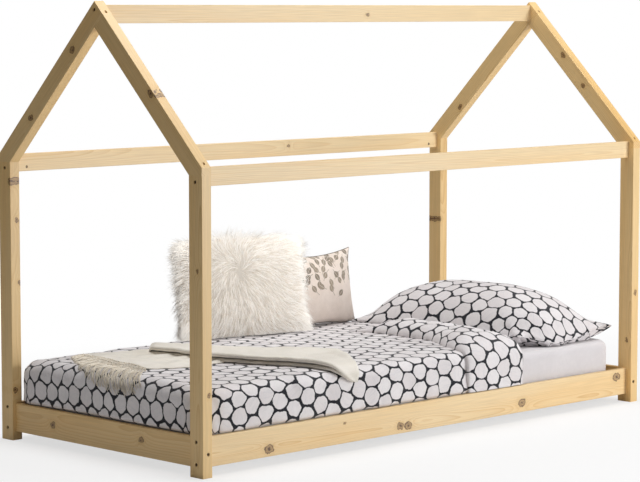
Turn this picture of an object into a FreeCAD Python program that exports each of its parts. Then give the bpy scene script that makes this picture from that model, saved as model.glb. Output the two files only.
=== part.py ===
"""House frame bed: a floor bed for a child in pine, with a gabled open frame over it.

Units are millimetres. The origin is on the floor under the middle of the bed.
+X runs from the foot end to the head end, +Y from the front side to the back, +Z up.

Every timber is its own solid. The two gables (two posts and two rafters each) are
tied by four long rails and a ridge beam. The rails are pulled tight by bolts
that screw into barrel nuts, as on the real knock-down bed. The bedding is made as
closed soft solids with the shape it lies in.
"""

import FreeCAD, Part

import math
import os

from FreeCAD import Placement, Rotation, Vector

# ---------------------------------------------------------------- frame timbers
INNER_LENGTH = 2000.0  # between the two gables, for a 2 m mattress
INNER_WIDTH = 902.0  # between the side rails, for a 0.9 m mattress
POST_WIDTH = 38.0  # gable timbers, measured along the bed
POST_DEPTH = 58.0  # gable timbers, measured across the bed
POST_HEIGHT = 903.0  # floor to the seat of the rafter
RAFTER_DEPTH = 58.0  # square to the slope
ROOF_ANGLE = 45.0  # degrees
BOARD_THICKNESS = 18.0  # side rails, end boards, eave rails and ridge beam
BOARD_HEIGHT = 92.0  # side rails and end boards
BOARD_FLOOR_GAP = 28.0  # floor to the underside of the boards
SIDE_RAIL_SETBACK = 21.0  # post's outer face to the side rail's outer face
END_BOARD_SETBACK = 13.0  # post's outer face to the end board's outer face
SLIM_RAIL_HEIGHT = 57.0  # eave rails and ridge beam
RIDGE_DROP = 3.0  # ridge beam's top edge below the roof line
EDGE_ROUND = 2.0  # long edges of every planed timber

# ---------------------------------------------------------------- slatted base
SLAT_COUNT = 14
SLAT_WIDTH = 70.0
SLAT_THICKNESS = 15.0
SLAT_END_CLEARANCE = 2.0  # each end, to the side rail
SLAT_EDGE_MARGIN = 12.0  # gable to the first slat
BATTEN_SIZE = 20.0  # square batten that carries the slats
BATTEN_LIFT = 2.0  # above the rail's lower edge
BATTEN_END_CLEARANCE = 2.0

# ---------------------------------------------------------------- hardware
BOLT_DIAMETER = 5.9
BOLT_HEAD_DIAMETER = 10.0
BOLT_HEAD_HEIGHT = 6.0
BOLT_RECESS = 3.0  # head's face below the timber's face
BOLT_TIP = 3.0  # bolt end past the barrel nut
BOLT_HOLE_PLAY = 1.1  # on the diameter
COUNTERBORE_PLAY = 1.5  # on the diameter
HEX_KEY = 5.0  # across flats
HEX_KEY_DEPTH = 3.2
NUT_DIAMETER = 9.8
NUT_LENGTH = 13.0
NUT_PLAY = 0.2  # on the diameter, in its hole
NUT_THREAD_PLAY = 0.1  # on the diameter, round the bolt
NUT_SINK = 1.0  # nut's end below the board's inner face
NUT_SLOT = 1.4
RAIL_NUT_INSET = 45.0  # board's end to the nut's axis, on the long rails
END_NUT_INSET = 32.0  # the same on the end boards
RAIL_BOLT_FROM_EDGE = 12.0  # side rail's lower and upper edge to its bolts
END_BOLT_RISE = 44.0  # end board's lower edge to its bolt
EAVE_BOLT_RISE = 14.0  # eave rail's lower edge to its bolt
RIDGE_BOLT_DROP = 15.0  # ridge beam's upper edge to its bolt
DOWEL_DIAMETER = 8.0
DOWEL_LENGTH = 30.0
DOWEL_PLAY = 0.1  # on the diameter
DOWEL_END_PLAY = 1.0  # at each end of its hole
END_DOWEL_SPREAD = 28.0  # each side of the end board's bolt
SLIM_DOWEL_SPREAD = 29.0  # eave and ridge bolt to the dowel beside it
FRAME_SCREW_DIAMETER = 5.0
FRAME_SCREW_HEAD = 9.0
FRAME_SCREW_SINK = 2.0
EAVE_SCREW_INSET = 12.0  # post's outer face to the screw that holds the rafter
EAVE_SCREW_BITE = 48.0  # into the post
APEX_SCREW_INSET = 33.0  # ridge line to the screw, on the front slope
APEX_SCREW_BITE = 45.0  # into the front rafter's end
WOOD_SCREW_DIAMETER = 3.5
WOOD_SCREW_HEAD = 7.0
WOOD_SCREW_BITE = 12.0  # into the second timber
CROSS_SLOT = 1.2
CROSS_DEPTH = 1.8

# ---------------------------------------------------------------- bedding
SOFT_CLEARANCE = 0.5  # between a soft piece and what it lies on
MATTRESS_THICKNESS = 156.0
MATTRESS_SIDE_GAP = 6.0  # mattress to the side rail
MATTRESS_FOOT_GAP = 2.0  # foot gable to the mattress
MATTRESS_HEAD_GAP = 45.0  # mattress to the head gable
MATTRESS_EDGE = 26.0  # radius of its long edges
SHEET_THICKNESS = 1.2
SHEET_HEM_LIFT = 9.0  # sheet's hem above the mattress's underside
DUVET_ABOVE_MATTRESS = 40.0  # top of the duvet at its shoulders
DUVET_CROWN = 9.0  # rise of its middle over its shoulders
DUVET_SHOULDER = 50.0  # radius where it turns down over the sides
DUVET_OVER_RAIL = 5.0  # side rail's outer face to the duvet's side
DUVET_OVER_BOARD = 5.0  # end board's outer face to the duvet's foot
DUVET_POST_GAP = 1.2
CORNER_OVERCUT = 1.0  # the corner's round starts this far outside the duvet's sides
DUVET_TO_HEAD = 523.0  # mattress's head end to the duvet's upper edge
DUVET_SWELLS = (0.0, -4.0, 2.0, -3.0, 3.0, -2.0)  # gentle swells along its length
FLAP_LENGTH = 270.0  # turned-back upper end of the duvet, along the bed
FLAP_RISE = 46.0  # its crest over the duvet's top
FLAP_EDGE_RISE = 26.0  # its rolled edge over the duvet's top
FLAP_REACH = 622.0  # across the bed, from the duvet's front side
FLAP_TAPER = 120.0  # width over which its far end runs out
FLAP_SIDE = 7.0  # how far it stands off the duvet's front side
FLAP_END_REACH = 3.0  # how far it reaches past the duvet's upper edge
PILLOW_LENGTH = 770.0
PILLOW_WIDTH = 475.0
PILLOW_CROWN = 137.0  # over its seam
PILLOW_BELLY = 46.0  # under its seam, before it flattens
PILLOW_SEAM_LIFT = 36.0  # seam above the sheet
PILLOW_DRAW = 16.0  # how far the sides pull in between the corners
PILLOW_TO_HEAD = 240.0  # mattress's head end to the pillow's middle
PILLOW_TO_FRONT = 40.0  # pillow's middle off the bed's middle, towards the front
PILLOW_TURN = 5.0  # degrees
FUR_CUSHION_WIDTH = 500.0
FUR_CUSHION_HEIGHT = 370.0
FUR_CUSHION_THICKNESS = 135.0
FUR_CUSHION_LEAN = 11.0  # degrees
FUR_CUSHION_TURN = -14.0  # degrees
FUR_CUSHION_TO_EDGE = 552.0  # duvet's upper edge to the cushion's middle
FUR_CUSHION_TO_BACK = 150.0  # duvet's back side to the cushion's foot
LEAF_CUSHION_WIDTH = 360.0
LEAF_CUSHION_HEIGHT = 280.0
LEAF_CUSHION_THICKNESS = 96.0
LEAF_CUSHION_LEAN = 8.0
LEAF_CUSHION_TO_EDGE = 143.0
LEAF_CUSHION_TO_BACK = 105.0
CUSHION_DRAW = 13.0
CUSHION_SINK = 17.0  # how far a cushion's lower edge presses into the duvet
CUSHION_SEAM = 5.0  # thickness of a cushion at its end seams
THROW_LAYER = 7.0  # single wool layer
THROW_FOLD = 27.0  # folded stack of the same throw
THROW_DRAPE = 42.0  # how far it hangs below the duvet's top
FRINGE_THICKNESS = 5.0
# The throw's plan, as (from the duvet's foot, from the duvet's front side).
THROW_OPEN_PLAN = ((232, 859), (122, 404), (252, 334), (402, 349), (458, 330), (525, 504), (452, 744))
THROW_FOLD_PLAN = (
    (372, 640), (392, 500), (402, 349), (470, 236), (534, 139), (575, 50), (598, -20), (655, -20),
    (715, 50), (777, 138), (790, 195), (715, 294), (612, 384), (527, 504), (492, 594), (452, 744),
)
FRINGE_PLAN = ((232, 859), (122, 404), (-30, 300), (-30, 660))

# ---------------------------------------------------------------- derived frame
HALF_INNER = INNER_LENGTH / 2
HALF_LENGTH = HALF_INNER + POST_WIDTH
HALF_WIDTH = INNER_WIDTH / 2 + BOARD_THICKNESS + SIDE_RAIL_SETBACK
POST_X = HALF_INNER + POST_WIDTH / 2
POST_Y = HALF_WIDTH - POST_DEPTH / 2
RAIL_Y = INNER_WIDTH / 2 + BOARD_THICKNESS / 2
END_BOARD_X = HALF_LENGTH - END_BOARD_SETBACK - BOARD_THICKNESS / 2
END_BOARD_LENGTH = 2 * (HALF_WIDTH - POST_DEPTH)
BOARD_Z = BOARD_FLOOR_GAP + BOARD_HEIGHT / 2
BOARD_TOP = BOARD_FLOOR_GAP + BOARD_HEIGHT
SLOPE = math.tan(math.radians(ROOF_ANGLE))
RAFTER_RISE = RAFTER_DEPTH / math.cos(math.radians(ROOF_ANGLE))
EAVE_CORNER = POST_HEIGHT + RAFTER_RISE - POST_DEPTH * SLOPE
APEX = EAVE_CORNER + HALF_WIDTH * SLOPE
SEAM_Y = RAFTER_DEPTH / (2 * math.sin(math.radians(ROOF_ANGLE)))
EAVE_RAIL_BOTTOM = EAVE_CORNER - SLIM_RAIL_HEIGHT
RIDGE_TOP = APEX - BOARD_THICKNESS / 2 * SLOPE - RIDGE_DROP
BATTEN_Z = BOARD_FLOOR_GAP + BATTEN_LIFT + BATTEN_SIZE / 2
BATTEN_Y = INNER_WIDTH / 2 - BATTEN_SIZE / 2
SLAT_Z = BATTEN_Z + BATTEN_SIZE / 2 + SLAT_THICKNESS / 2
SLAT_TOP = SLAT_Z + SLAT_THICKNESS / 2
SLAT_FIRST_X = HALF_INNER - SLAT_EDGE_MARGIN - SLAT_WIDTH / 2
SLAT_STEP = 2 * SLAT_FIRST_X / (SLAT_COUNT - 1)

# ---------------------------------------------------------------- derived bedding
MATTRESS_FOOT = -HALF_INNER + MATTRESS_FOOT_GAP
MATTRESS_HEAD = HALF_INNER - MATTRESS_HEAD_GAP
MATTRESS_HALF_WIDTH = INNER_WIDTH / 2 - MATTRESS_SIDE_GAP
MATTRESS_BOTTOM = SLAT_TOP + SOFT_CLEARANCE
MATTRESS_TOP = MATTRESS_BOTTOM + MATTRESS_THICKNESS
SHEET_TOP = MATTRESS_TOP + SHEET_THICKNESS
DUVET_FOOT = -HALF_LENGTH + END_BOARD_SETBACK + DUVET_OVER_BOARD
DUVET_HALF_WIDTH = INNER_WIDTH / 2 + BOARD_THICKNESS - DUVET_OVER_RAIL
DUVET_HEAD = MATTRESS_HEAD - DUVET_TO_HEAD
DUVET_BOTTOM = BOARD_TOP + SOFT_CLEARANCE
DUVET_TOP = SHEET_TOP + DUVET_ABOVE_MATTRESS


def radius_clear_of_post():
    """Corner radius at which the duvet's foot corners pass the posts' inner corners."""
    along = -HALF_INNER - DUVET_FOOT + CORNER_OVERCUT
    across = DUVET_HALF_WIDTH - (HALF_WIDTH - POST_DEPTH) + CORNER_OVERCUT
    reach = along + across + DUVET_POST_GAP
    inside = reach**2 - (along**2 + across**2 - DUVET_POST_GAP**2)
    return reach + math.sqrt(max(inside, 0.0))


DUVET_CORNER = radius_clear_of_post()
MATTRESS_CORNER = DUVET_CORNER - (MATTRESS_FOOT - DUVET_FOOT)

ENDS = {"foot": -1, "head": 1}
SIDES = {"front": -1, "back": 1}
BIG = 4000.0  # larger than the bed, for cutting tools

pieces = {}
groups = {}  # fasteners, by kind, until they are gathered into pieces


# ---------------------------------------------------------------- shape helpers
def box(x0, x1, y0, y1, z0, z1):
    """Box between two corners."""
    return Part.makeBox(x1 - x0, y1 - y0, z1 - z0, Vector(x0, y0, z0))


def rod(start, axis, diameter, length):
    """Cylinder from start along axis."""
    return Part.makeCylinder(diameter / 2, length, start, axis)


def line(a, b):
    """Straight edge."""
    return Part.LineSegment(a, b).toShape()


def arc(a, through, b):
    """Circular edge through three points."""
    return Part.Arc(a, through, b).toShape()


def polygon_prism(points, direction):
    """Prism of a closed polygon, swept along direction."""
    return Part.Face(Part.makePolygon(list(points) + [points[0]])).extrude(direction)


def timber(thickness, height, length):
    """Planed bar with rounded long edges: thickness on X, height on Y, centred, from z = 0 up."""
    x, y, r = thickness / 2, height / 2, EDGE_ROUND
    k = r * (1 - math.sqrt(0.5))
    corners = ((x, y), (-x, y), (-x, -y), (x, -y))
    edges = []
    ends = []
    for cx, cy in corners:
        sx, sy = math.copysign(1, cx), math.copysign(1, cy)
        on_side = Vector(cx, cy - sy * r, 0)
        on_top = Vector(cx - sx * r, cy, 0)
        middle = Vector(cx - sx * k, cy - sy * k, 0)
        first, last = (on_side, on_top) if sx == sy else (on_top, on_side)
        edges.append(arc(first, middle, last))
        ends.append((first, last))
    for i, (_, last) in enumerate(ends):
        edges.append(line(last, ends[(i + 1) % 4][0]))
    face = Part.Face(Part.Wire(Part.__sortEdges__(edges)))
    return face.extrude(Vector(0, 0, length))


def timber_on_x(thickness, height, length, y, z):
    """Timber along X, centred on x = 0, thickness across the bed, height up."""
    bar = timber(thickness, height, length)
    turn = Rotation(Vector(1, 1, 1), 120)
    bar.Placement = Placement(Vector(-length / 2, y, z), turn)
    return bar


def timber_on_y(thickness, height, length, x, z):
    """Timber along Y, centred on y = 0, thickness along the bed, height up."""
    bar = timber(thickness, height, length)
    bar.Placement = Placement(Vector(x, -length / 2, z), Rotation(Vector(1, 0, 0), -90))
    return bar


def cut(names, tools):
    """Cuts the tools out of each named piece."""
    for name in names:
        pieces[name] = pieces[name].cut(tools)


# ---------------------------------------------------------------- hardware helpers
def hex_prism(centre, axis, across_flats, depth):
    """Hexagonal socket, centred on the axis."""
    corner = across_flats / math.sqrt(3)
    side = axis.cross(Vector(0, 0, 1) if abs(axis.z) < 0.9 else Vector(1, 0, 0)).normalize()
    up = axis.cross(side)
    angles = [math.radians(60 * i) for i in range(6)]
    ring = [centre + side * (corner * math.cos(a)) + up * (corner * math.sin(a)) for a in angles]
    return polygon_prism(ring, axis * depth)


def bolt(face_point, axis, length):
    """Socket head bolt sunk under the face at face_point; length counts from that face."""
    head_face = face_point + axis * BOLT_RECESS
    seat = BOLT_RECESS + BOLT_HEAD_HEIGHT
    head = rod(head_face, axis, BOLT_HEAD_DIAMETER, BOLT_HEAD_HEIGHT)
    shank = rod(face_point + axis * seat, axis, BOLT_DIAMETER, length - seat)
    return head.fuse(shank).cut(hex_prism(head_face, axis, HEX_KEY, HEX_KEY_DEPTH))


def bolt_hole(face_point, axis, length):
    """Counterbore and clearance hole for the bolt, a little deeper than its tip."""
    seat = BOLT_RECESS + BOLT_HEAD_HEIGHT
    sink = rod(face_point - axis, axis, BOLT_HEAD_DIAMETER + COUNTERBORE_PLAY, seat + 1)
    hole = rod(face_point, axis, BOLT_DIAMETER + BOLT_HOLE_PLAY, length + BOLT_TIP)
    return sink.fuse(hole)


def barrel_nut(centre, bolt_point, into, bolt_axis):
    """Cross dowel nut, its slotted end facing out of the board, threaded for a bolt at bolt_point."""
    start = centre - into * (NUT_LENGTH / 2)
    barrel = rod(start, into, NUT_DIAMETER, NUT_LENGTH)
    thread_start = bolt_point - bolt_axis * NUT_DIAMETER
    thread = rod(thread_start, bolt_axis, BOLT_DIAMETER + NUT_THREAD_PLAY, 2 * NUT_DIAMETER)
    slot = box(-NUT_SLOT / 2, NUT_SLOT / 2, -NUT_DIAMETER, NUT_DIAMETER, 0, NUT_SLOT)
    slot.Placement = Placement(start, Rotation(Vector(0, 0, 1), into))
    return barrel.cut(thread).cut(slot)


def nut_hole(centre, into):
    """Blind hole for the barrel nut, open at the board's inner face."""
    half = NUT_LENGTH / 2
    start = centre - into * (half + NUT_SINK + 1)
    return rod(start, into, NUT_DIAMETER + NUT_PLAY, NUT_LENGTH + NUT_SINK + 1)


def bolted_joint(face_point, axis, through, inset, into):
    """Bolt through a post into a barrel nut in a board's end.

    through is the post's thickness along the bolt, inset the nut's distance from
    the board's end, and into the way the nut is pushed into the board.
    Returns the bolt, the nut and the two cutting tools.
    """
    to_nut = through + inset
    length = to_nut + NUT_DIAMETER / 2 + BOLT_TIP
    bolt_point = face_point + axis * to_nut
    centre = bolt_point - into * (BOARD_THICKNESS / 2 - NUT_SINK - NUT_LENGTH / 2)
    nut = barrel_nut(centre, bolt_point, into, axis)
    return bolt(face_point, axis, length), nut, bolt_hole(face_point, axis, length), nut_hole(centre, into)


def dowel(centre, axis):
    """Beech dowel, centred on the joint between two timbers."""
    return rod(centre - axis * (DOWEL_LENGTH / 2), axis, DOWEL_DIAMETER, DOWEL_LENGTH)


def dowel_hole(centre, axis):
    """Hole for a dowel, in both timbers."""
    half = DOWEL_LENGTH / 2 + DOWEL_END_PLAY
    return rod(centre - axis * half, axis, DOWEL_DIAMETER + DOWEL_PLAY, 2 * half)


def screw(head_face, axis, diameter, head_diameter, length):
    """Countersunk cross-head screw, its head's face at head_face."""
    cone = (head_diameter - diameter) / 2
    head = Part.makeCone(head_diameter / 2, diameter / 2, cone, head_face, axis)
    body = head.fuse(rod(head_face, axis, diameter, length - diameter))
    tip = Part.makeCone(diameter / 2, 0.3, diameter, head_face + axis * (length - diameter), axis)
    reach = head_diameter * 0.3
    half = CROSS_SLOT / 2
    recess = box(-half, half, -reach, reach, 0, CROSS_DEPTH)
    recess = recess.fuse(box(-reach, reach, -half, half, 0, CROSS_DEPTH))
    recess.Placement = Placement(head_face, Rotation(Vector(0, 0, 1), axis))
    return body.fuse(tip).cut(recess)


def screw_hole(head_face, axis, diameter, head_diameter, length, sink):
    """Countersink, clear way above the head by sink, and the screw's hole."""
    cone = (head_diameter - diameter) / 2
    way_in = rod(head_face - axis * sink, axis, head_diameter, sink)
    seat = Part.makeCone(head_diameter / 2, diameter / 2, cone, head_face, axis)
    return seat.fuse(rod(head_face, axis, diameter, length)).fuse(way_in)


# ---------------------------------------------------------------- frame
def make_posts():
    """Four posts of the two gables."""
    for end, sx in ENDS.items():
        for side, sy in SIDES.items():
            post = timber(POST_WIDTH, POST_DEPTH, POST_HEIGHT)
            post.translate(Vector(sx * POST_X, sy * POST_Y, 0))
            pieces[f"post_{end}_{side}"] = post


def make_rafters():
    """Two rafters a gable: the back one runs through to the front slope, the front one butts under it."""
    apex_in = Vector(0, 0, APEX - RAFTER_RISE)
    apex_out = Vector(0, 0, APEX)
    seam_z = EAVE_CORNER + (HALF_WIDTH - SEAM_Y) * SLOPE
    tops = {
        "front": [apex_in, Vector(0, -SEAM_Y, seam_z)],
        "back": [Vector(0, -SEAM_Y, seam_z), apex_out],
    }
    for end, sx in ENDS.items():
        for side, sy in SIDES.items():
            outline = [
                Vector(0, sy * HALF_WIDTH, POST_HEIGHT),
                Vector(0, sy * (HALF_WIDTH - POST_DEPTH), POST_HEIGHT),
            ]
            outline += tops[side] + [Vector(0, sy * HALF_WIDTH, EAVE_CORNER)]
            prism = polygon_prism(outline, Vector(BIG, 0, 0))
            prism.translate(Vector(-BIG / 2, 0, 0))
            length = 2 * APEX
            bar = timber(POST_WIDTH, RAFTER_DEPTH, length)
            bar.translate(Vector(0, -sy * RAFTER_DEPTH / 2, -length / 2))
            lean = Rotation(Vector(1, 0, 0), sy * (90 - ROOF_ANGLE))
            bar.Placement = Placement(Vector(sx * POST_X, 0, APEX), lean).multiply(bar.Placement)
            pieces[f"rafter_{end}_{side}"] = bar.common(prism)


def make_rails():
    """Ridge beam, eave rails, side rails and end boards."""
    ridge_z = RIDGE_TOP - SLIM_RAIL_HEIGHT / 2
    pieces["ridge_beam"] = timber_on_x(BOARD_THICKNESS, SLIM_RAIL_HEIGHT, INNER_LENGTH, 0, ridge_z)
    eave_z = EAVE_RAIL_BOTTOM + SLIM_RAIL_HEIGHT / 2
    for side, sy in SIDES.items():
        y = sy * RAIL_Y
        pieces[f"eave_rail_{side}"] = timber_on_x(BOARD_THICKNESS, SLIM_RAIL_HEIGHT, INNER_LENGTH, y, eave_z)
        pieces[f"side_rail_{side}"] = timber_on_x(BOARD_THICKNESS, BOARD_HEIGHT, INNER_LENGTH, y, BOARD_Z)
    for end, sx in ENDS.items():
        x = sx * END_BOARD_X
        pieces[f"{end}_board"] = timber_on_y(BOARD_THICKNESS, BOARD_HEIGHT, END_BOARD_LENGTH, x, BOARD_Z)


def make_slatted_base():
    """Battens on the side rails, and the slats that lie across them."""
    batten_length = INNER_LENGTH - 2 * BATTEN_END_CLEARANCE
    for side, sy in SIDES.items():
        name = f"slat_batten_{side}"
        pieces[name] = timber_on_x(BATTEN_SIZE, BATTEN_SIZE, batten_length, sy * BATTEN_Y, BATTEN_Z)
    slat_length = INNER_WIDTH - 2 * SLAT_END_CLEARANCE
    for i in range(SLAT_COUNT):
        slat = timber_on_y(SLAT_WIDTH, SLAT_THICKNESS, slat_length, -SLAT_FIRST_X + i * SLAT_STEP, SLAT_Z)
        pieces[f"slat_{i + 1:02d}"] = slat


# ---------------------------------------------------------------- joints of the frame
def add_bolted_end(group, posts, board, point, inward, into):
    """Bolts one end of a long board at point, and drills the posts and the board for it."""
    long_bolt, nut, hole, pocket = bolted_joint(point, inward, POST_WIDTH, RAIL_NUT_INSET, into)
    groups.setdefault(f"{group}_bolts", []).append(long_bolt)
    groups.setdefault(f"{group}_barrel_nuts", []).append(nut)
    cut(posts + [board], hole)
    cut([board], pocket)


def add_dowel(group, timbers, seat, axis):
    """Dowel at seat, and its hole in the timbers."""
    groups.setdefault(f"{group}_dowels", []).append(dowel(seat, axis))
    cut(timbers, dowel_hole(seat, axis))


def join_long_rails():
    """Bolts, barrel nuts and dowels of the side rails, eave rails and ridge beam."""
    for end, sx in ENDS.items():
        inward = Vector(-sx, 0, 0)
        for side, sy in SIDES.items():
            out = Vector(0, sy, 0)
            post, rafter = f"post_{end}_{side}", f"rafter_{end}_{side}"
            for z in (BOARD_FLOOR_GAP + RAIL_BOLT_FROM_EDGE, BOARD_TOP - RAIL_BOLT_FROM_EDGE):
                point = Vector(sx * HALF_LENGTH, sy * RAIL_Y, z)
                add_bolted_end("side_rail", [post], f"side_rail_{side}", point, inward, out)
            rail = f"eave_rail_{side}"
            point = Vector(sx * HALF_LENGTH, sy * RAIL_Y, EAVE_RAIL_BOTTOM + EAVE_BOLT_RISE)
            add_bolted_end("eave", [post], rail, point, inward, out)
            seat = Vector(sx * HALF_INNER, sy * RAIL_Y, point.z + SLIM_DOWEL_SPREAD)
            add_dowel("eave", [post, rafter, rail], seat, inward)
        rafters = [f"rafter_{end}_{side}" for side in SIDES]
        point = Vector(sx * HALF_LENGTH, 0, RIDGE_TOP - RIDGE_BOLT_DROP)
        add_bolted_end("ridge", rafters, "ridge_beam", point, inward, Vector(0, -1, 0))
        seat = Vector(sx * HALF_INNER, 0, point.z - SLIM_DOWEL_SPREAD)
        add_dowel("ridge", rafters + ["ridge_beam"], seat, inward)


def join_end_boards():
    """One bolt and two dowels at each end of the foot board and the head board."""
    for end, sx in ENDS.items():
        board = f"{end}_board"
        for side, sy in SIDES.items():
            inward = Vector(0, -sy, 0)
            post = f"post_{end}_{side}"
            z = BOARD_FLOOR_GAP + END_BOLT_RISE
            point = Vector(sx * END_BOARD_X, sy * HALF_WIDTH, z)
            joint = bolted_joint(point, inward, POST_DEPTH, END_NUT_INSET, Vector(sx, 0, 0))
            cross_bolt, nut, hole, pocket = joint
            groups.setdefault("end_board_bolts", []).append(cross_bolt)
            groups.setdefault("end_board_barrel_nuts", []).append(nut)
            cut([post, board], hole)
            cut([board], pocket)
            for dz in (-END_DOWEL_SPREAD, END_DOWEL_SPREAD):
                seat = Vector(sx * END_BOARD_X, sy * (HALF_WIDTH - POST_DEPTH), z + dz)
                add_dowel("end_board", [post, board], seat, inward)


def sloping_face_screw(x, y, bottom, names):
    """Upright screw sunk into a roof slope at x, y and down to bottom; drills the named timbers."""
    slope_z = APEX - abs(y) * SLOPE
    low_side = slope_z - FRAME_SCREW_HEAD / 2 * SLOPE
    face = Vector(x, y, low_side - FRAME_SCREW_SINK)
    size = (FRAME_SCREW_DIAMETER, FRAME_SCREW_HEAD, face.z - bottom)
    down = Vector(0, 0, -1)
    way_in = FRAME_SCREW_SINK + FRAME_SCREW_HEAD * SLOPE + 1
    cut(names, screw_hole(face, down, *size, way_in))
    return screw(face, down, *size)


def join_gables():
    """Screw and dowel between each post and its rafter, and the screw at each apex."""
    for end, sx in ENDS.items():
        x = sx * POST_X
        for side, sy in SIDES.items():
            both = [f"post_{end}_{side}", f"rafter_{end}_{side}"]
            y = sy * (HALF_WIDTH - EAVE_SCREW_INSET)
            eave_screw = sloping_face_screw(x, y, POST_HEIGHT - EAVE_SCREW_BITE, both)
            groups.setdefault("eave_screws", []).append(eave_screw)
            seat = Vector(x, sy * (HALF_WIDTH - POST_DEPTH + DOWEL_LENGTH / 2), POST_HEIGHT)
            add_dowel("rafter", both, seat, Vector(0, 0, 1))
        both = [f"rafter_{end}_{side}" for side in SIDES]
        seam_z = APEX - RAFTER_RISE + APEX_SCREW_INSET * SLOPE
        apex_screw = sloping_face_screw(x, -APEX_SCREW_INSET, seam_z - APEX_SCREW_BITE, both)
        groups.setdefault("apex_screws", []).append(apex_screw)


def join_slatted_base():
    """Screws of the battens into the side rails, and of the slats into the battens."""
    wood = (WOOD_SCREW_DIAMETER, WOOD_SCREW_HEAD)
    down = Vector(0, 0, -1)
    slat_xs = [-SLAT_FIRST_X + i * SLAT_STEP for i in range(SLAT_COUNT)]
    for side, sy in SIDES.items():
        batten, rail = f"slat_batten_{side}", f"side_rail_{side}"
        out = Vector(0, sy, 0)
        length = BATTEN_SIZE + WOOD_SCREW_BITE
        for i in range(0, SLAT_COUNT - 1, 2):
            x = slat_xs[i] + SLAT_STEP / 2
            face = Vector(x, sy * (INNER_WIDTH / 2 - BATTEN_SIZE), BATTEN_Z)
            groups.setdefault("batten_screws", []).append(screw(face, out, *wood, length))
            cut([batten, rail], screw_hole(face, out, *wood, length, 1))
        length = SLAT_THICKNESS + WOOD_SCREW_BITE
        for i, x in enumerate(slat_xs):
            face = Vector(x, sy * BATTEN_Y, SLAT_TOP)
            groups.setdefault("slat_screws", []).append(screw(face, down, *wood, length))
            cut([f"slat_{i + 1:02d}", batten], screw_hole(face, down, *wood, length, 1))


def gather_fasteners():
    """Each kind of fastener becomes one group of separate solids."""
    pieces.update({name: Part.makeCompound(solids) for name, solids in groups.items()})


# ---------------------------------------------------------------- bedding
def soft_block(foot, head, half_width, bottom, top, corner, edge, bottom_edge):
    """Block with rounded plan corners and rounded upper edges, and lower ones if bottom_edge is set."""
    block = box(foot, head, -half_width, half_width, bottom, top)
    uprights = [e for e in block.Edges if abs(e.Vertexes[0].Z - e.Vertexes[-1].Z) > 1]
    block = block.makeFillet(corner, uprights)
    rims = [(top, edge)] + ([(bottom, bottom_edge)] if bottom_edge else [])
    for z, radius in rims:
        rim = [e for e in block.Edges if abs(e.BoundBox.ZMin - z) < 1e-3 and abs(e.BoundBox.ZMax - z) < 1e-3]
        block = block.makeFillet(radius, rim)
    return block


def make_mattress():
    """Foam mattress and the fitted sheet stretched over it."""
    half = MATTRESS_HALF_WIDTH - SHEET_THICKNESS
    foot = MATTRESS_FOOT + SHEET_THICKNESS
    head = MATTRESS_HEAD - SHEET_THICKNESS
    core = (foot, head, half, MATTRESS_BOTTOM, MATTRESS_TOP, MATTRESS_CORNER, MATTRESS_EDGE)
    mattress = soft_block(*core, MATTRESS_EDGE / 2)
    hem = MATTRESS_BOTTOM + SHEET_HEM_LIFT + MATTRESS_EDGE / 2
    skin = soft_block(
        MATTRESS_FOOT, MATTRESS_HEAD, MATTRESS_HALF_WIDTH, hem,
        SHEET_TOP, MATTRESS_CORNER + SHEET_THICKNESS, MATTRESS_EDGE + SHEET_THICKNESS, 0,
    )
    pieces["mattress"] = mattress
    pieces["fitted_sheet"] = skin.cut(mattress)


def duvet_section(x, bottom, top, half_width, shoulder):
    """Cross-section of the duvet's outside at x, as a closed wire of lines and arcs."""
    low = shoulder * (1 - math.sqrt(0.5))
    right, left = half_width, -half_width
    flat_r, flat_l = half_width - shoulder, -half_width + shoulder
    points = {
        "a": Vector(x, left, bottom),
        "b": Vector(x, left, top - shoulder),
        "c": Vector(x, flat_l, top),
        "d": Vector(x, flat_r, top),
        "e": Vector(x, right, top - shoulder),
        "f": Vector(x, right, bottom),
    }
    return Part.Wire([
        line(points["a"], points["b"]),
        arc(points["b"], Vector(x, left + low, top - low), points["c"]),
        arc(points["c"], Vector(x, 0, top + DUVET_CROWN), points["d"]),
        arc(points["d"], Vector(x, right - low, top - low), points["e"]),
        line(points["e"], points["f"]),
        line(points["f"], points["a"]),
    ])


def duvet_block(offset):
    """Outside of the duvet with nothing cut out, grown by offset on every side."""
    foot, head = DUVET_FOOT - offset, DUVET_HEAD + offset
    half_width, shoulder = DUVET_HALF_WIDTH + offset, DUVET_SHOULDER + offset
    bottom, top = DUVET_BOTTOM - offset, DUVET_TOP + offset
    sections = []
    for share in (0.0, 0.05, 0.19, 0.41, 0.69, 1.0):
        drop = shoulder * (1 - math.sqrt(1 - (1 - share) ** 2))
        sections.append(duvet_section(foot + share * shoulder, bottom, top - drop, half_width, shoulder))
    run = head - foot - shoulder
    for i, swell in enumerate(DUVET_SWELLS):
        x = foot + shoulder + run * (i + 1) / len(DUVET_SWELLS)
        sections.append(duvet_section(x, bottom, top + swell, half_width, shoulder))
    loft = Part.makeLoft(sections, True, True)
    over = CORNER_OVERCUT
    plan = box(foot - over, head + BIG, -half_width - over, half_width + over, 0, BIG)
    foot_uprights = [
        e for e in plan.Edges
        if abs(e.Vertexes[0].Z - e.Vertexes[-1].Z) > 1 and e.BoundBox.XMax < foot
    ]
    return loft.common(plan.makeFillet(DUVET_CORNER + offset, foot_uprights))


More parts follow.
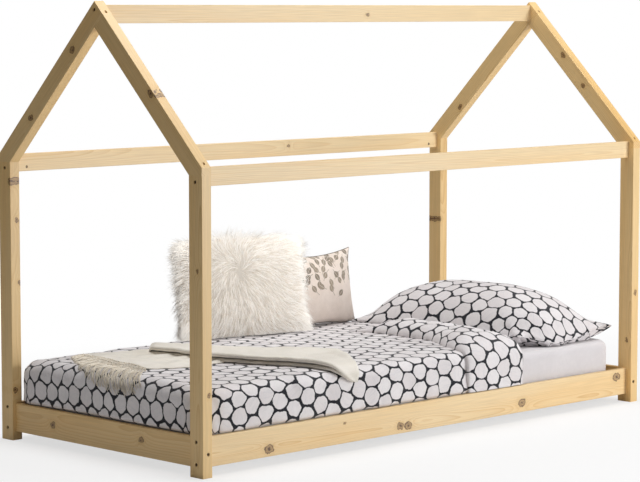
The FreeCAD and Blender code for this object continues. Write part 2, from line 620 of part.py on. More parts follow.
def duvet_flap():
    """Turned-back upper end of the duvet, a thicker roll that runs out towards the back."""
    front = -DUVET_HALF_WIDTH - FLAP_SIDE
    start, end = DUVET_HEAD - FLAP_LENGTH, DUVET_HEAD + FLAP_END_REACH
    crest = DUVET_TOP + FLAP_RISE
    edge = DUVET_TOP + FLAP_EDGE_RISE
    low = DUVET_BOTTOM + 1
    roll = FLAP_EDGE_RISE
    turn = roll * (1 - math.sqrt(0.5))
    foot_low, foot_side = Vector(start, 0, low), Vector(start, 0, edge - roll)
    foot_turn, foot_top = Vector(start + turn, 0, edge - turn), Vector(start + roll, 0, edge)
    head_low, head_side = Vector(end, 0, low), Vector(end, 0, edge - roll)
    head_turn, head_top = Vector(end - turn, 0, edge - turn), Vector(end - roll, 0, edge)
    along = Part.Wire([
        line(foot_low, foot_side),
        arc(foot_side, foot_turn, foot_top),
        arc(foot_top, Vector((start + end) / 2, 0, crest), head_top),
        arc(head_top, head_turn, head_side),
        line(head_side, head_low),
        line(head_low, foot_low),
    ])
    ridge = Part.Face(along).extrude(Vector(0, BIG, 0))
    ridge.translate(Vector(0, -BIG / 2, 0))
    shoulder = DUVET_SHOULDER + FLAP_SIDE
    top = crest + 2
    back = front + FLAP_REACH
    bend = shoulder * (1 - math.sqrt(0.5))
    across = Part.Wire([
        line(Vector(start, front, low), Vector(start, front, top - shoulder)),
        arc(
            Vector(start, front, top - shoulder),
            Vector(start, front + bend, top - bend),
            Vector(start, front + shoulder, top),
        ),
        line(Vector(start, front + shoulder, top), Vector(start, back - FLAP_TAPER, top)),
        arc(
            Vector(start, back - FLAP_TAPER, top),
            Vector(start, back - FLAP_TAPER * 0.35, top - FLAP_RISE * 0.38),
            Vector(start, back, DUVET_TOP - 4),
        ),
        line(Vector(start, back, DUVET_TOP - 4), Vector(start, back, low)),
        line(Vector(start, back, low), Vector(start, front, low)),
    ])
    band = Part.Face(across).extrude(Vector(FLAP_LENGTH + BIG, 0, 0))
    return ridge.common(band)


def make_duvet():
    """Duvet: a thick quilt over the mattress that hangs down to the boards on three sides."""
    mattress_space = soft_block(
        MATTRESS_FOOT - SOFT_CLEARANCE, MATTRESS_HEAD + BIG, MATTRESS_HALF_WIDTH + SOFT_CLEARANCE,
        MATTRESS_BOTTOM - SOFT_CLEARANCE, SHEET_TOP + SOFT_CLEARANCE,
        MATTRESS_CORNER + SHEET_THICKNESS, MATTRESS_EDGE + SHEET_THICKNESS, 0,
    )
    pieces["duvet"] = duvet_block(0).fuse(duvet_flap()).cut(mattress_space)


def crowned_pad(width, height, front_depth, back_depth, draw, seam):
    """Stuffed pad: width on X, height on Z, crowned to -Y and +Y, sides drawn in between the corners."""
    sections = []
    for share in (-1.0, -0.93, -0.7, -0.36, 0.0, 0.36, 0.7, 0.93, 1.0):
        fullness = (1 - abs(share) ** 2.6) ** 0.72
        front = seam / 2 + (front_depth - seam / 2) * fullness
        back = seam / 2 + (back_depth - seam / 2) * fullness
        half = height / 2 - draw * (1 - share**2)
        x = share * width / 2
        low, high = Vector(x, 0, -half), Vector(x, 0, half)
        sections.append(Part.Wire([arc(low, Vector(x, -front, 0), high), arc(high, Vector(x, back, 0), low)]))
    pad = Part.makeLoft(sections, True, False)
    radius = (height**2 / 4 + draw**2) / (2 * draw)
    reach = front_depth + back_depth
    for sx in (-1, 1):
        centre = Vector(sx * (width / 2 + radius - draw), -reach, 0)
        pad = pad.cut(rod(centre, Vector(0, 1, 0), 2 * radius, 2 * reach))
    return pad


def make_pillow():
    """Pillow lying flat across the head end, its belly flattened on the sheet."""
    pad = crowned_pad(PILLOW_LENGTH, PILLOW_WIDTH, PILLOW_CROWN, PILLOW_BELLY, PILLOW_DRAW, CUSHION_SEAM)
    lay_down = Rotation(Vector(0, 0, 1), 90 + PILLOW_TURN).multiply(Rotation(Vector(1, 0, 0), -90))
    x = MATTRESS_HEAD - PILLOW_TO_HEAD
    seam = SHEET_TOP + PILLOW_SEAM_LIFT
    pad.Placement = Placement(Vector(x, -PILLOW_TO_FRONT, seam), lay_down)
    floor = SHEET_TOP + SOFT_CLEARANCE
    pieces["pillow"] = pad.cut(box(-BIG, BIG, -BIG, BIG, -BIG, floor))


def standing_cushion(width, height, thickness, lean, turn, to_edge, to_back, under):
    """Cushion standing on the duvet, leaning back, its foot pressed flat on what is under it."""
    half = thickness / 2
    pad = crowned_pad(width, height, half, half, CUSHION_DRAW, CUSHION_SEAM)
    pad.translate(Vector(0, 0, height / 2))
    stance = Rotation(Vector(0, 0, 1), turn).multiply(Rotation(Vector(1, 0, 0), -lean))
    z = DUVET_TOP + DUVET_CROWN / 2 - CUSHION_SINK
    foot = Vector(DUVET_HEAD - to_edge, DUVET_HALF_WIDTH - to_back, z)
    pad.Placement = Placement(foot, stance).multiply(pad.Placement)
    return pad.cut(under)


def plan_prism(points, bottom, top):
    """Upright prism over a plan given from the duvet's foot and front side."""
    ring = [Vector(DUVET_FOOT + x, -DUVET_HALF_WIDTH + y, bottom) for x, y in points]
    return polygon_prism(ring, Vector(0, 0, top - bottom))


def make_throw(under):
    """Wool throw: an open layer at the foot, gathered into a folded strip, and its fringe."""
    hang = DUVET_TOP - THROW_DRAPE
    layer = duvet_block(SOFT_CLEARANCE + THROW_LAYER).cut(under)
    stack = duvet_block(SOFT_CLEARANCE + THROW_FOLD).cut(under)
    open_part = layer.common(plan_prism(THROW_OPEN_PLAN, hang, BIG))
    folded = stack.common(plan_prism(THROW_FOLD_PLAN, hang, BIG))
    pieces["throw"] = open_part.fuse(folded).removeSplitter()
    tassels = duvet_block(SOFT_CLEARANCE + FRINGE_THICKNESS).cut(under)
    pieces["throw_fringe"] = tassels.common(plan_prism(FRINGE_PLAN, hang, BIG))


def make_bedding():
    """Everything soft, from the mattress up."""
    make_mattress()
    make_duvet()
    make_pillow()
    under = duvet_block(SOFT_CLEARANCE)
    pieces["fur_cushion"] = standing_cushion(
        FUR_CUSHION_WIDTH, FUR_CUSHION_HEIGHT, FUR_CUSHION_THICKNESS, FUR_CUSHION_LEAN,
        FUR_CUSHION_TURN, FUR_CUSHION_TO_EDGE, FUR_CUSHION_TO_BACK, under,
    )
    pieces["leaf_cushion"] = standing_cushion(
        LEAF_CUSHION_WIDTH, LEAF_CUSHION_HEIGHT, LEAF_CUSHION_THICKNESS, LEAF_CUSHION_LEAN,
        0, LEAF_CUSHION_TO_EDGE, LEAF_CUSHION_TO_BACK, under,
    )
    make_throw(under)


# ---------------------------------------------------------------- build
def main():
    """Builds every piece and writes one file for each."""
    make_posts()
    make_rafters()
    make_rails()
    make_slatted_base()
    join_long_rails()
    join_end_boards()
    join_gables()
    join_slatted_base()
    gather_fasteners()
    make_bedding()
    os.makedirs("parts", exist_ok=True)
    for name, shape in pieces.items():
        solids = shape.Solids
        result = solids[0] if len(solids) == 1 else Part.makeCompound(solids)
        result.exportStep(f"parts/{name}.step")
        size = result.optimalBoundingBox(False)
        print(
            f"{name}: {len(solids)} solid(s), valid {result.isValid()},"
            f" {size.XLength:.1f} x {size.YLength:.1f} x {size.ZLength:.1f} mm,"
            f" volume {result.Volume / 1000:.1f} cm3"
        )


main()
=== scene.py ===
"""Dresses the house frame bed: pine timbers, steel fasteners and made-up bedding."""

import logging
import math
from collections.abc import Sequence
from dataclasses import dataclass, field
from enum import Enum

import bpy
import numpy as np
from bpy.types import Material, Mesh, Node, NodeSocket, NodeTree, Object
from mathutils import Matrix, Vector, noise


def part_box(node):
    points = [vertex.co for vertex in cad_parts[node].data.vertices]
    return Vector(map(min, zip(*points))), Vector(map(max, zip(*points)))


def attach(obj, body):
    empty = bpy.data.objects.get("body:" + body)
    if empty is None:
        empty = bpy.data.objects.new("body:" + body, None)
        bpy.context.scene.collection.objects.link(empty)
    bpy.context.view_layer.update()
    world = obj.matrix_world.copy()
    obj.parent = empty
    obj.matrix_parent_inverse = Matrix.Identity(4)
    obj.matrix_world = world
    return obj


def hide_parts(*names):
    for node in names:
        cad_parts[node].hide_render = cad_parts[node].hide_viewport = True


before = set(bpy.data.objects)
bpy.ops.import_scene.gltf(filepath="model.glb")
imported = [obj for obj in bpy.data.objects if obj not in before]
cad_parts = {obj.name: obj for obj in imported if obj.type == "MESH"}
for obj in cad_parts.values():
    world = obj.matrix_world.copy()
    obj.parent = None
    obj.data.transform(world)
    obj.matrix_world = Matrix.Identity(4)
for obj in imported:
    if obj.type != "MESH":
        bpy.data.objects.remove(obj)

log = logging.getLogger("house_bed")
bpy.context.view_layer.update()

Array = np.ndarray
Faces = list[Sequence[int]]
MeshData = tuple[Array, Faces, Array]  # points, faces and flat cloth coordinates
Point = tuple[float, float, float]
Colour = tuple[float, float, float]
Route = tuple[tuple[float, float], ...]
Sockets = bpy.types.bpy_prop_collection

QUARTER = math.pi / 2
FAR_AWAY = 99.0  # a knot distance that leaves the wood plain


# ---------------------------------------------------------------- node graph helper
class Graph:
    """Short names for the shader nodes that the finishes are made of."""

    def __init__(self, tree: NodeTree) -> None:
        """Keeps the tree that nodes are added to."""
        self.tree = tree
        self.column = 0

    def add(self, kind: str, **settings: object) -> Node:
        """Adds a node.

        Args:
            kind: Blender's node type name.
            settings: attributes set on the node.

        Returns:
            The new node.
        """
        node = self.tree.nodes.new(kind)
        self.column += 1
        node.location = (180 * (self.column % 12), -220 * (self.column // 12))
        for name, value in settings.items():
            setattr(node, name, value)
        return node

    def plug(self, socket: NodeSocket, value: object) -> None:
        """Links an output to socket, or sets a plain value on it."""
        if isinstance(value, NodeSocket):
            self.tree.links.new(value, socket)
        elif value is not None:
            if isinstance(value, (tuple, list)) and len(value) == 3 and socket.type == "RGBA":
                value = (*value, 1.0)
            socket.default_value = value

    def fed(self, node: Node, *values: object) -> Node:
        """Plugs values into a node's first sockets, in order."""
        for socket, value in zip(node.inputs, values):
            self.plug(socket, value)
        return node

    def math(self, operation: str, a: object, b: object = None, c: object = None) -> NodeSocket:
        """One Math node; returns its value."""
        return self.fed(self.add("ShaderNodeMath", operation=operation), a, b, c).outputs[0]

    def times(self, a: object, b: object) -> NodeSocket:
        """The product of two numbers."""
        return self.math("MULTIPLY", a, b)

    def vector(self, operation: str, a: object, b: object = None, c: object = None) -> NodeSocket:
        """One Vector Math node; returns its vector, or its value for LENGTH and DOT_PRODUCT."""
        node = self.fed(self.add("ShaderNodeVectorMath", operation=operation), a, b, c)
        return node.outputs[1 if operation in ("LENGTH", "DOT_PRODUCT") else 0]

    def stretched(self, vector: object, factors: object) -> NodeSocket:
        """Vector times another, part by part."""
        return self.vector("MULTIPLY", vector, factors)

    def scaled(self, vector: object, factor: object) -> NodeSocket:
        """Vector times a number.

        Args:
            vector: the vector.
            factor: the number.

        Returns:
            The product.
        """
        node = self.add("ShaderNodeVectorMath", operation="SCALE")
        self.plug(node.inputs[0], vector)
        self.plug(node.inputs["Scale"], factor)
        return node.outputs[0]

    def split(self, vector: object) -> tuple[NodeSocket, ...]:
        """The three parts of a vector."""
        return tuple(self.fed(self.add("ShaderNodeSeparateXYZ"), vector).outputs)

    def join(self, x: object, y: object, z: object = 0.0) -> NodeSocket:
        """A vector from three numbers."""
        return self.fed(self.add("ShaderNodeCombineXYZ"), x, y, z).outputs[0]

    def noise(self, vector: object, scale: float, detail: float = 2.0, colour: bool = False) -> NodeSocket:
        """Noise texture; returns its value, or its colour.

        Args:
            vector: where it is read.
            scale: its waves a unit.
            detail: its finer octaves.
            colour: gives the colour.

        Returns:
            The value or the colour.
        """
        node = self.add("ShaderNodeTexNoise")
        self.plug(node.inputs["Vector"], vector)
        self.plug(node.inputs["Scale"], scale)
        self.plug(node.inputs["Detail"], detail)
        return node.outputs["Color" if colour else "Fac"]

    def centred(self, vector: object) -> NodeSocket:
        """A vector of parts from 0 to 1, moved to run round zero."""
        return self.vector("SUBTRACT", vector, (0.5, 0.5, 0.5))

    def wander(self, vector: object, scale: float, detail: float, reach: object) -> NodeSocket:
        """A noisy vector round zero, up to half of reach each way."""
        return self.scaled(self.centred(self.noise(vector, scale, detail, True)), reach)

    def random(self, vector: object, colour: bool = False) -> NodeSocket:
        """One random number, or colour, for each place."""
        node = self.fed(self.add("ShaderNodeTexWhiteNoise", noise_dimensions="3D"), vector)
        return node.outputs["Color" if colour else "Value"]

    def ramp(
        self, value: object, low: object, high: object, to_low: float = 0.0, to_high: float = 1.0,
    ) -> NodeSocket:
        """Smooth step from low to high."""
        node = self.add("ShaderNodeMapRange", interpolation_type="SMOOTHSTEP")
        return self.fed(node, value, low, high, to_low, to_high).outputs[0]

    def spin(self, x: object, y: object, angle: object) -> tuple[NodeSocket, NodeSocket]:
        """Two coordinates as seen from axes turned by angle.

        Args:
            x: first coordinate.
            y: second.
            angle: in radians.

        Returns:
            The two turned coordinates.
        """
        cosine, sine = self.math("COSINE", angle), self.math("SINE", angle)
        first = self.math("ADD", self.times(x, cosine), self.times(y, sine))
        return first, self.math("SUBTRACT", self.times(y, cosine), self.times(x, sine))

    def mix(self, factor: object, a: object, b: object, blend: str = "MIX") -> NodeSocket:
        """Colour mix of a and b.

        Args:
            factor: share of b.
            a: a colour.
            b: a colour.
            blend: how they are mixed.

        Returns:
            The mixed colour.
        """
        node = self.add("ShaderNodeMix", data_type="RGBA", blend_type=blend)
        for number, value in ((0, factor), (6, a), (7, b)):
            self.plug(node.inputs[number], value)
        return node.outputs[2]

    def shaded(self, colour: object, shade: object) -> NodeSocket:
        """Colour times a grey shade."""
        return self.mix(1.0, colour, self.join(shade, shade, shade), "MULTIPLY")

    def group(self, tree: NodeTree, **values: object) -> Sockets:
        """Places a node group, sets or links its inputs by name and returns its outputs.

        Args:
            tree: the group.
            values: a value or output for each input, with _ for a space.

        Returns:
            The group's outputs.
        """
        node = self.add("ShaderNodeGroup", node_tree=tree)
        for name, value in values.items():
            self.plug(node.inputs[name.replace("_", " ")], value)
        return node.outputs

    def cloth(self) -> NodeSocket:
        """The piece's flat cloth coordinates."""
        return self.add("ShaderNodeUVMap", uv_map="cloth").outputs[0]


def new_group(
    name: str, inputs: dict[str, object], outputs: tuple[str, ...],
) -> tuple[Graph, Sockets, Sockets]:
    """Starts a shader node group with named sockets.

    Args:
        name: the group's name.
        inputs: socket name to default value: a number, a 3-vector, or a 4-tuple for a colour.
        outputs: socket names; one that ends in Colour is a colour, the others are numbers.

    Returns:
        The graph, what the group is given, and the sockets that take what it puts out.
    """
    tree = bpy.data.node_groups.new(name, "ShaderNodeTree")
    for label, value in inputs.items():
        kind = "NodeSocketFloat"
        if isinstance(value, tuple):
            kind = "NodeSocketColor" if len(value) == 4 else "NodeSocketVector"
        tree.interface.new_socket(label, in_out="INPUT", socket_type=kind).default_value = value
    for label in outputs:
        kind = "NodeSocketColor" if label.endswith("Colour") else "NodeSocketFloat"
        tree.interface.new_socket(label, in_out="OUTPUT", socket_type=kind)
    graph = Graph(tree)
    return graph, graph.add("NodeGroupInput").outputs, graph.add("NodeGroupOutput").inputs


# ---------------------------------------------------------------- shared effects
class Effects:
    """The shader node groups that several finishes share, each built once."""

    def __init__(self) -> None:
        """Builds every group."""
        self.knot = self._knot()
        self.pine = self._pine()
        self.weave = self._weave()
        self.honeycomb = self._honeycomb()
        self.leaves = self._leaves()
        self.brushed = self._brushed()

    def _knot(self) -> NodeTree:
        """A branch knot: how far off it a point is, and how much it bends the grain there.

        Returns:
            The group.
        """
        g, given, out = new_group(
            "BranchKnot",
            {
                "Vector": (0, 0, 0), "Centre": (0, 0, 0), "Spread": (1, 1, 0), "Radius": 0.01,
                "Bend": 0.0, "Near": FAR_AWAY,
            },
            ("Bend", "Near"),
        )
        away = g.vector("SUBTRACT", given["Vector"], given["Centre"])
        away = g.vector("ADD", away, g.wander(given["Vector"], 90.0, 1.0, 0.013))
        away = g.stretched(g.stretched(away, given["Spread"]), (0.72, 1, 1))
        near = g.math("DIVIDE", g.vector("LENGTH", away), given["Radius"])
        g.plug(out["Bend"], g.math("ADD", given["Bend"], g.math("EXPONENT", g.times(near, -0.62))))
        g.plug(out["Near"], g.math("MINIMUM", given["Near"], near))
        return g.tree

    def _pine(self) -> NodeTree:
        """Pine cut from a log: x runs along the grain, and the rings lie round the pith.

        Returns:
            The group.
        """
        g, given, out = new_group(
            "PineGrain",
            {
                "Vector": (0, 0, 0), "Seed": 0.0, "Pith": (0, 0.06, 0.02), "Ring": 0.0042,
                "Bend": 0.0, "Near": FAR_AWAY, "Early": (0.75, 0.56, 0.33, 1),
                "Late": (0.6, 0.38, 0.17, 1), "Knot Heart": (0.22, 0.1, 0.04, 1),
            },
            ("Colour", "Roughness", "Height"),
        )
        late, heart, near = given["Late"], given["Knot Heart"], given["Near"]
        place = g.vector("ADD", given["Vector"], g.join(given["Seed"], g.times(given["Seed"], 1.7)))
        bent = g.vector("ADD", given["Vector"], g.wander(g.stretched(place, (1.3, 7, 7)), 1.0, 2.0, 0.03))
        x, y, z = g.split(g.vector("SUBTRACT", bent, given["Pith"]))
        off = g.join(0.0, g.math("MULTIPLY_ADD", x, 0.016, y), g.math("MULTIPLY_ADD", x, -0.011, z))
        rings = g.math("DIVIDE", g.vector("LENGTH", off), given["Ring"])
        rings = g.math("MULTIPLY_ADD", given["Bend"], 4.2, rings)
        part = g.math("FRACT", rings)
        year = g.random(g.join(g.math("FLOOR", rings), given["Seed"]))
        band = g.times(g.math("POWER", part, 2.2), g.ramp(part, 1.0, 0.9))
        band = g.times(band, g.math("MULTIPLY_ADD", year, 0.7, 0.40))
        fibre = g.noise(g.stretched(place, (8, 460, 460)), 1.0, 1.0)
        blotch = g.noise(g.stretched(place, (1.1, 9, 9)), 1.0, 1.0)
        colour = g.mix(band, given["Early"], late)
        warm = g.mix(0.5, colour, (1.0, 0.86, 0.62), "MULTIPLY")
        colour = g.mix(g.ramp(blotch, 0.4, 0.75), colour, warm)
        colour = g.shaded(colour, g.ramp(fibre, 0.3, 0.7, 0.93, 1.03))
        colour = g.mix(g.ramp(near, 2.6, 1.0, 0.0, 0.45), colour, late)
        knot_rings = g.ramp(g.math("FRACT", g.times(near, 3.4)), 0.2, 0.9, 0.35, 0.7)
        knot = g.mix(g.ramp(near, 0.5, 0.12), g.mix(knot_rings, late, heart), heart)
        colour = g.mix(g.ramp(near, 1.1, 0.85), colour, knot)
        rim = g.times(g.ramp(near, 0.76, 0.96), g.ramp(near, 1.2, 1.0))
        bark = g.ramp(g.noise(given["Vector"], 120.0, 1.0), 0.35, 0.55, 0.5, 0.95)
        g.plug(out["Colour"], g.mix(g.times(rim, bark), colour, heart))
        g.plug(out["Roughness"], g.math("MULTIPLY_ADD", band, -0.1, g.ramp(fibre, 0.2, 0.8, 0.5, 0.62)))
        g.plug(out["Height"], g.math("MULTIPLY_ADD", band, 0.6, g.times(fibre, 0.25)))
        return g.tree

    def _weave(self) -> NodeTree:
        """Plain weave: threads over and under, uneven in thickness, with painted shade that darkens its dips
        and lightens its raised threads.

        Returns:
            The group.
        """
        g, given, out = new_group("PlainWeave", {"Vector": (0, 0, 0), "Threads": 1400.0}, ("Height", "Shade"))
        x, y, _ = g.split(g.scaled(given["Vector"], g.times(given["Threads"], math.pi)))
        cross = g.times(g.math("SINE", x), g.math("SINE", y))
        height = g.math("MULTIPLY_ADD", cross, 0.5, g.noise(given["Vector"], 60.0, 3.0))
        g.plug(out["Height"], height)
        # painted shade: lower parts of the weave darker, raised threads lighter
        g.plug(out["Shade"], g.ramp(height, -0.2, 1.3, 0.93, 1.05))
        return g.tree

    def _honeycomb(self) -> NodeTree:
        """Hand-drawn honeycomb: long cells with round corners, ink lines between and strokes inside.

        Returns:
            The group.
        """
        g, given, out = new_group(
            "HoneycombPrint",
            {
                "Vector": (0, 0, 0), "Cell": 0.057, "Stretch": 1.165,
                "Line": 0.053, "Round": 0.952, "Wobble": 0.024,
            },
            ("Ink", "Sketch", "Cell Shade"),
        )
        place = g.vector("ADD", given["Vector"], g.wander(given["Vector"], 22.0, 2.0, given["Wobble"]))
        size = g.join(g.times(given["Cell"], given["Stretch"]), given["Cell"], 1.0)
        x, y, _ = g.split(g.vector("DIVIDE", place, size))
        flat = g.join(x, y)
        half = (math.sqrt(3) / 2, 0.5, 1.0)
        low = tuple(-v for v in half)
        own = g.vector("WRAP", flat, half, low)
        other = g.vector("WRAP", g.vector("SUBTRACT", flat, (half[0], half[1], 0.0)), half, low)
        choice = g.add("ShaderNodeMix", data_type="VECTOR")
        g.plug(choice.inputs[0], g.math("LESS_THAN", g.vector("LENGTH", other), g.vector("LENGTH", own)))
        g.plug(choice.inputs[4], own)
        g.plug(choice.inputs[5], other)
        local = choice.outputs[1]
        cell = g.vector("ADD", g.vector("SUBTRACT", flat, local), (0.2, 0.2, 0.2))
        cell = g.vector("SNAP", cell, (0.4, 0.25, 1.0))
        chance = g.random(cell)
        drawn = g.stretched(g.centred(g.random(cell, True)), (0.055, 0.055, 0.0))
        local = g.vector("ADD", local, drawn)
        ax, ay, _ = g.split(g.vector("ABSOLUTE", local))
        edge = g.math("MAXIMUM", ay, g.math("MULTIPLY_ADD", ax, math.sqrt(3) / 2, g.times(ay, 0.5)))
        edge = g.math("SMOOTH_MAX", edge, g.times(g.vector("LENGTH", local), given["Round"]), 0.03)
        edge = g.math("ADD", edge, g.math("MULTIPLY_ADD", chance, 0.026, -0.013))
        edge = g.math("ADD", edge, g.math("MULTIPLY_ADD", g.noise(place, 260.0, 2.0), 0.05, -0.025))
        limit = g.math("SUBTRACT", 0.5, given["Line"])
        ink = g.ramp(edge, g.math("SUBTRACT", limit, 0.012), g.math("ADD", limit, 0.012))
        lx, ly, _ = g.split(local)
        across, along = g.spin(lx, ly, g.times(chance, 6.28))
        stroke = g.noise(g.join(g.times(across, 16.0), g.times(along, 1.6), chance), 1.0, 2.0)
        g.plug(out["Ink"], ink)
        g.plug(out["Sketch"], g.ramp(stroke, 0.56, 0.66))
        g.plug(out["Cell Shade"], chance)
        return g.tree

    def _leaves(self) -> NodeTree:
        """Scattered leaf sprigs of a plain made-up kind, thicker towards the top and none lower down.

        Returns:
            The group.
        """
        inputs = {"Vector": (0, 0, 0), "Size": 0.043, "Start": 0.004}
        g, given, out = new_group("LeafScatter", inputs, ("Leaf", "Vein", "Tone"))
        size = g.join(given["Size"], given["Size"], 1.0)
        scaled = g.vector("DIVIDE", given["Vector"], size)
        cells = g.add("ShaderNodeTexVoronoi", voronoi_dimensions="2D", feature="F1")
        for name, value in (("Vector", scaled), ("Scale", 1.0), ("Randomness", 0.75)):
            g.plug(cells.inputs[name], value)
        centre = cells.outputs["Position"]
        chance, turn, tone = g.split(cells.outputs["Color"])
        lx, ly, _ = g.split(g.vector("SUBTRACT", scaled, centre))
        along, across = g.spin(lx, ly, g.math("MULTIPLY_ADD", turn, 2.2, 0.5))
        off, far = g.math("ABSOLUTE", across), g.math("ABSOLUTE", along)
        half = g.math("MULTIPLY_ADD", g.math("POWER", g.times(far, 2.9), 2.2), -0.235, 0.235)
        blade = g.ramp(g.math("SUBTRACT", half, off), -0.01, 0.02)
        bow = g.math("ABSOLUTE", g.math("MULTIPLY_ADD", g.times(along, along), 0.25, across))
        stem = g.times(g.ramp(bow, 0.035, 0.02), g.ramp(far, 0.85, 0.75))
        _, height, _ = g.split(g.stretched(centre, size))
        height = g.math("MULTIPLY_ADD", chance, 0.06, height)
        keep = g.ramp(height, given["Start"], g.math("ADD", given["Start"], 0.05))
        drawn = g.math("MAXIMUM", blade, g.times(stem, 0.7))
        side = g.math("FRACT", g.times(g.math("ADD", along, off), 9.0))
        veins = g.math("MAXIMUM", g.ramp(off, 0.03, 0.01), g.times(g.ramp(side, 0.25, 0.1), 0.5))
        g.plug(out["Leaf"], g.times(drawn, g.math("GREATER_THAN", keep, 0.5)))
        g.plug(out["Vein"], g.times(veins, blade))
        g.plug(out["Tone"], tone)
        return g.tree

    def _brushed(self) -> NodeTree:
        """Zinc plate: fine turning marks and a dull bloom.

        Returns:
            The group.
        """
        g, given, out = new_group("ZincBloom", {"Vector": (0, 0, 0)}, ("Shade", "Roughness", "Height"))
        bloom = g.noise(given["Vector"], 240.0, 3.0)
        g.plug(out["Shade"], g.ramp(bloom, 0.3, 0.7, 0.72, 1.0))
        g.plug(out["Roughness"], g.ramp(bloom, 0.3, 0.7, 0.28, 0.5))
        g.plug(out["Height"], g.noise(g.stretched(given["Vector"], (1, 1, 9)), 900.0, 1.0))
        return g.tree


# ---------------------------------------------------------------- finishes
def new_material(name: str, **uniform: float) -> tuple[Material, Graph, Sockets]:
    """A material with a Principled shader.

    Args:
        name: the material's name.
        uniform: values set on the shader's sockets, by name.

    Returns:
        The material, its graph and the shader's sockets.
    """
    material = bpy.data.materials.new(name)
    material.use_nodes = True
    shader = material.node_tree.nodes["Principled BSDF"].inputs
    for label, value in uniform.items():
        shader[label.replace("_", " ")].default_value = value
    return material, Graph(material.node_tree), shader


def add_bump(g: Graph, shader: Sockets, height: object, strength: float, distance: float) -> None:
    """Bumps the shader's normal by height.

    Args:
        g: the material's graph.
        shader: the shader's sockets.
        height: what raises the surface.
        strength: share of the bump that shows.
        distance: height of the bump, in metres.
    """
    bump = g.add("ShaderNodeBump")
    for name, value in (("Strength", strength), ("Distance", distance), ("Height", height)):
        g.plug(bump.inputs[name], value)
    g.plug(shader["Normal"], bump.outputs["Normal"])


@dataclass(frozen=True)
class Knot:
    """A knot in a timber: a point of its centre line, its radius, and if it runs across the width."""

    at: Point
    radius: float = 0.008
    through_depth: bool = False


@dataclass(frozen=True)
class Cut:
    """How a timber was cut: the grain's way, its wider side's way, its middle, its figure and its knots."""

    along: Point
    across: Point
    centre: Point
    seed: float
    knots: tuple[Knot, ...] = ()


@dataclass(frozen=True)
class PineFinish:
    """Planed pine under a matt varnish, for one timber."""

    early: Colour = (0.83, 0.59, 0.28)
    late: Colour = (0.69, 0.43, 0.165)
    heart: Colour = (0.10, 0.04, 0.012)

    def material(self, effects: Effects, name: str, cut: Cut) -> Material:
        """Makes one timber's material.

        Args:
            effects: the shared node groups.
            name: the material's name.
            cut: how the timber was cut.

        Returns:
            The material.
        """
        material, g, shader = new_material(name, Specular_IOR_Level=0.4, Coat_Weight=0.35, Coat_Roughness=0.3)
        axes = (cut.along, cut.across, tuple(Vector(cut.along).cross(Vector(cut.across))))
        place = g.vector("SUBTRACT", g.add("ShaderNodeTexCoord").outputs["Object"], cut.centre)
        grain = g.join(*(g.vector("DOT_PRODUCT", place, axis) for axis in axes))
        bend, near = 0.0, FAR_AWAY
        for knot in cut.knots:
            away = Vector(knot.at) - Vector(cut.centre)
            at = tuple(away.dot(Vector(axis)) for axis in axes)
            spread = (1.0, 0.0, 1.0) if knot.through_depth else (1.0, 1.0, 0.0)
            found = g.group(
                effects.knot, Vector=grain, Centre=at, Spread=spread, Radius=knot.radius,
                Bend=bend, Near=near,
            )
            bend, near = found["Bend"], found["Near"]
        pith = (0.0, 0.045 * math.sin(cut.seed * 2.4) + 0.012, 0.03 + 0.028 * math.cos(cut.seed * 1.9))
        ring = 0.0040 + 0.0012 * math.sin(cut.seed * 5.1)
        pine = g.group(
            effects.pine, Vector=grain, Seed=cut.seed, Pith=pith, Ring=ring, Bend=bend, Near=near,
            Early=self.early, Late=self.late, Knot_Heart=self.heart,
        )
        g.plug(shader["Base Color"], pine["Colour"])
        g.plug(shader["Roughness"], pine["Roughness"])
        add_bump(g, shader, pine["Height"], 0.2, 0.0004)
        return material


@dataclass(frozen=True)
class SteelFinish:
    """Zinc-plated steel of bolts, nuts and screws."""

    colour: Colour

    def material(self, effects: Effects, name: str) -> Material:
        """Makes the material.

        Args:
            effects: the shared node groups.
            name: the material's name.

        Returns:
            The material.
        """
        material, g, shader = new_material(name, Metallic=1.0)
        bloom = g.group(effects.brushed, Vector=g.add("ShaderNodeTexCoord").outputs["Object"])
        g.plug(shader["Base Color"], g.shaded(self.colour, bloom["Shade"]))
        g.plug(shader["Roughness"], bloom["Roughness"])
        add_bump(g, shader, bloom["Height"], 0.1, 0.0001)
        return material


@dataclass(frozen=True)
class ClothFinish:
    """Plain woven or knitted cloth."""

    colour: Colour
    shadow: Colour
    sheen: float = 0.25
    threads: float = 1400.0
    relief: float = 0.0004

    def material(self, effects: Effects, name: str) -> Material:
        """Makes the material, for pieces with flat cloth coordinates.

        Args:
            effects: the shared node groups.
            name: the material's name.

        Returns:
            The material.
        """
        material, g, shader = new_material(
            name, Roughness=0.9, Sheen_Weight=self.sheen, Sheen_Roughness=0.5, Specular_IOR_Level=0.2,
        )
        place = g.cloth()
        weave = g.group(effects.weave, Vector=place, Threads=self.threads)
        # the weave's painted shade darkens the colour in its dips and lightens it on raised threads
        g.plug(shader["Base Color"], g.shaded(self.pattern(g, effects, place), weave["Shade"]))
        add_bump(g, shader, weave["Height"], 0.35, self.relief)
        return material

    def pattern(self, g: Graph, effects: Effects, place: NodeSocket) -> NodeSocket:
        """The cloth's colour at a place of its flat coordinates."""
        return self.mottled(g, place, 9.0, 3.0)

    def mottled(self, g: Graph, place: NodeSocket, scale: float, detail: float) -> NodeSocket:
        """Soft patches of the two tones."""
        return g.mix(g.ramp(g.noise(place, scale, detail), 0.35, 0.7), self.shadow, self.colour)


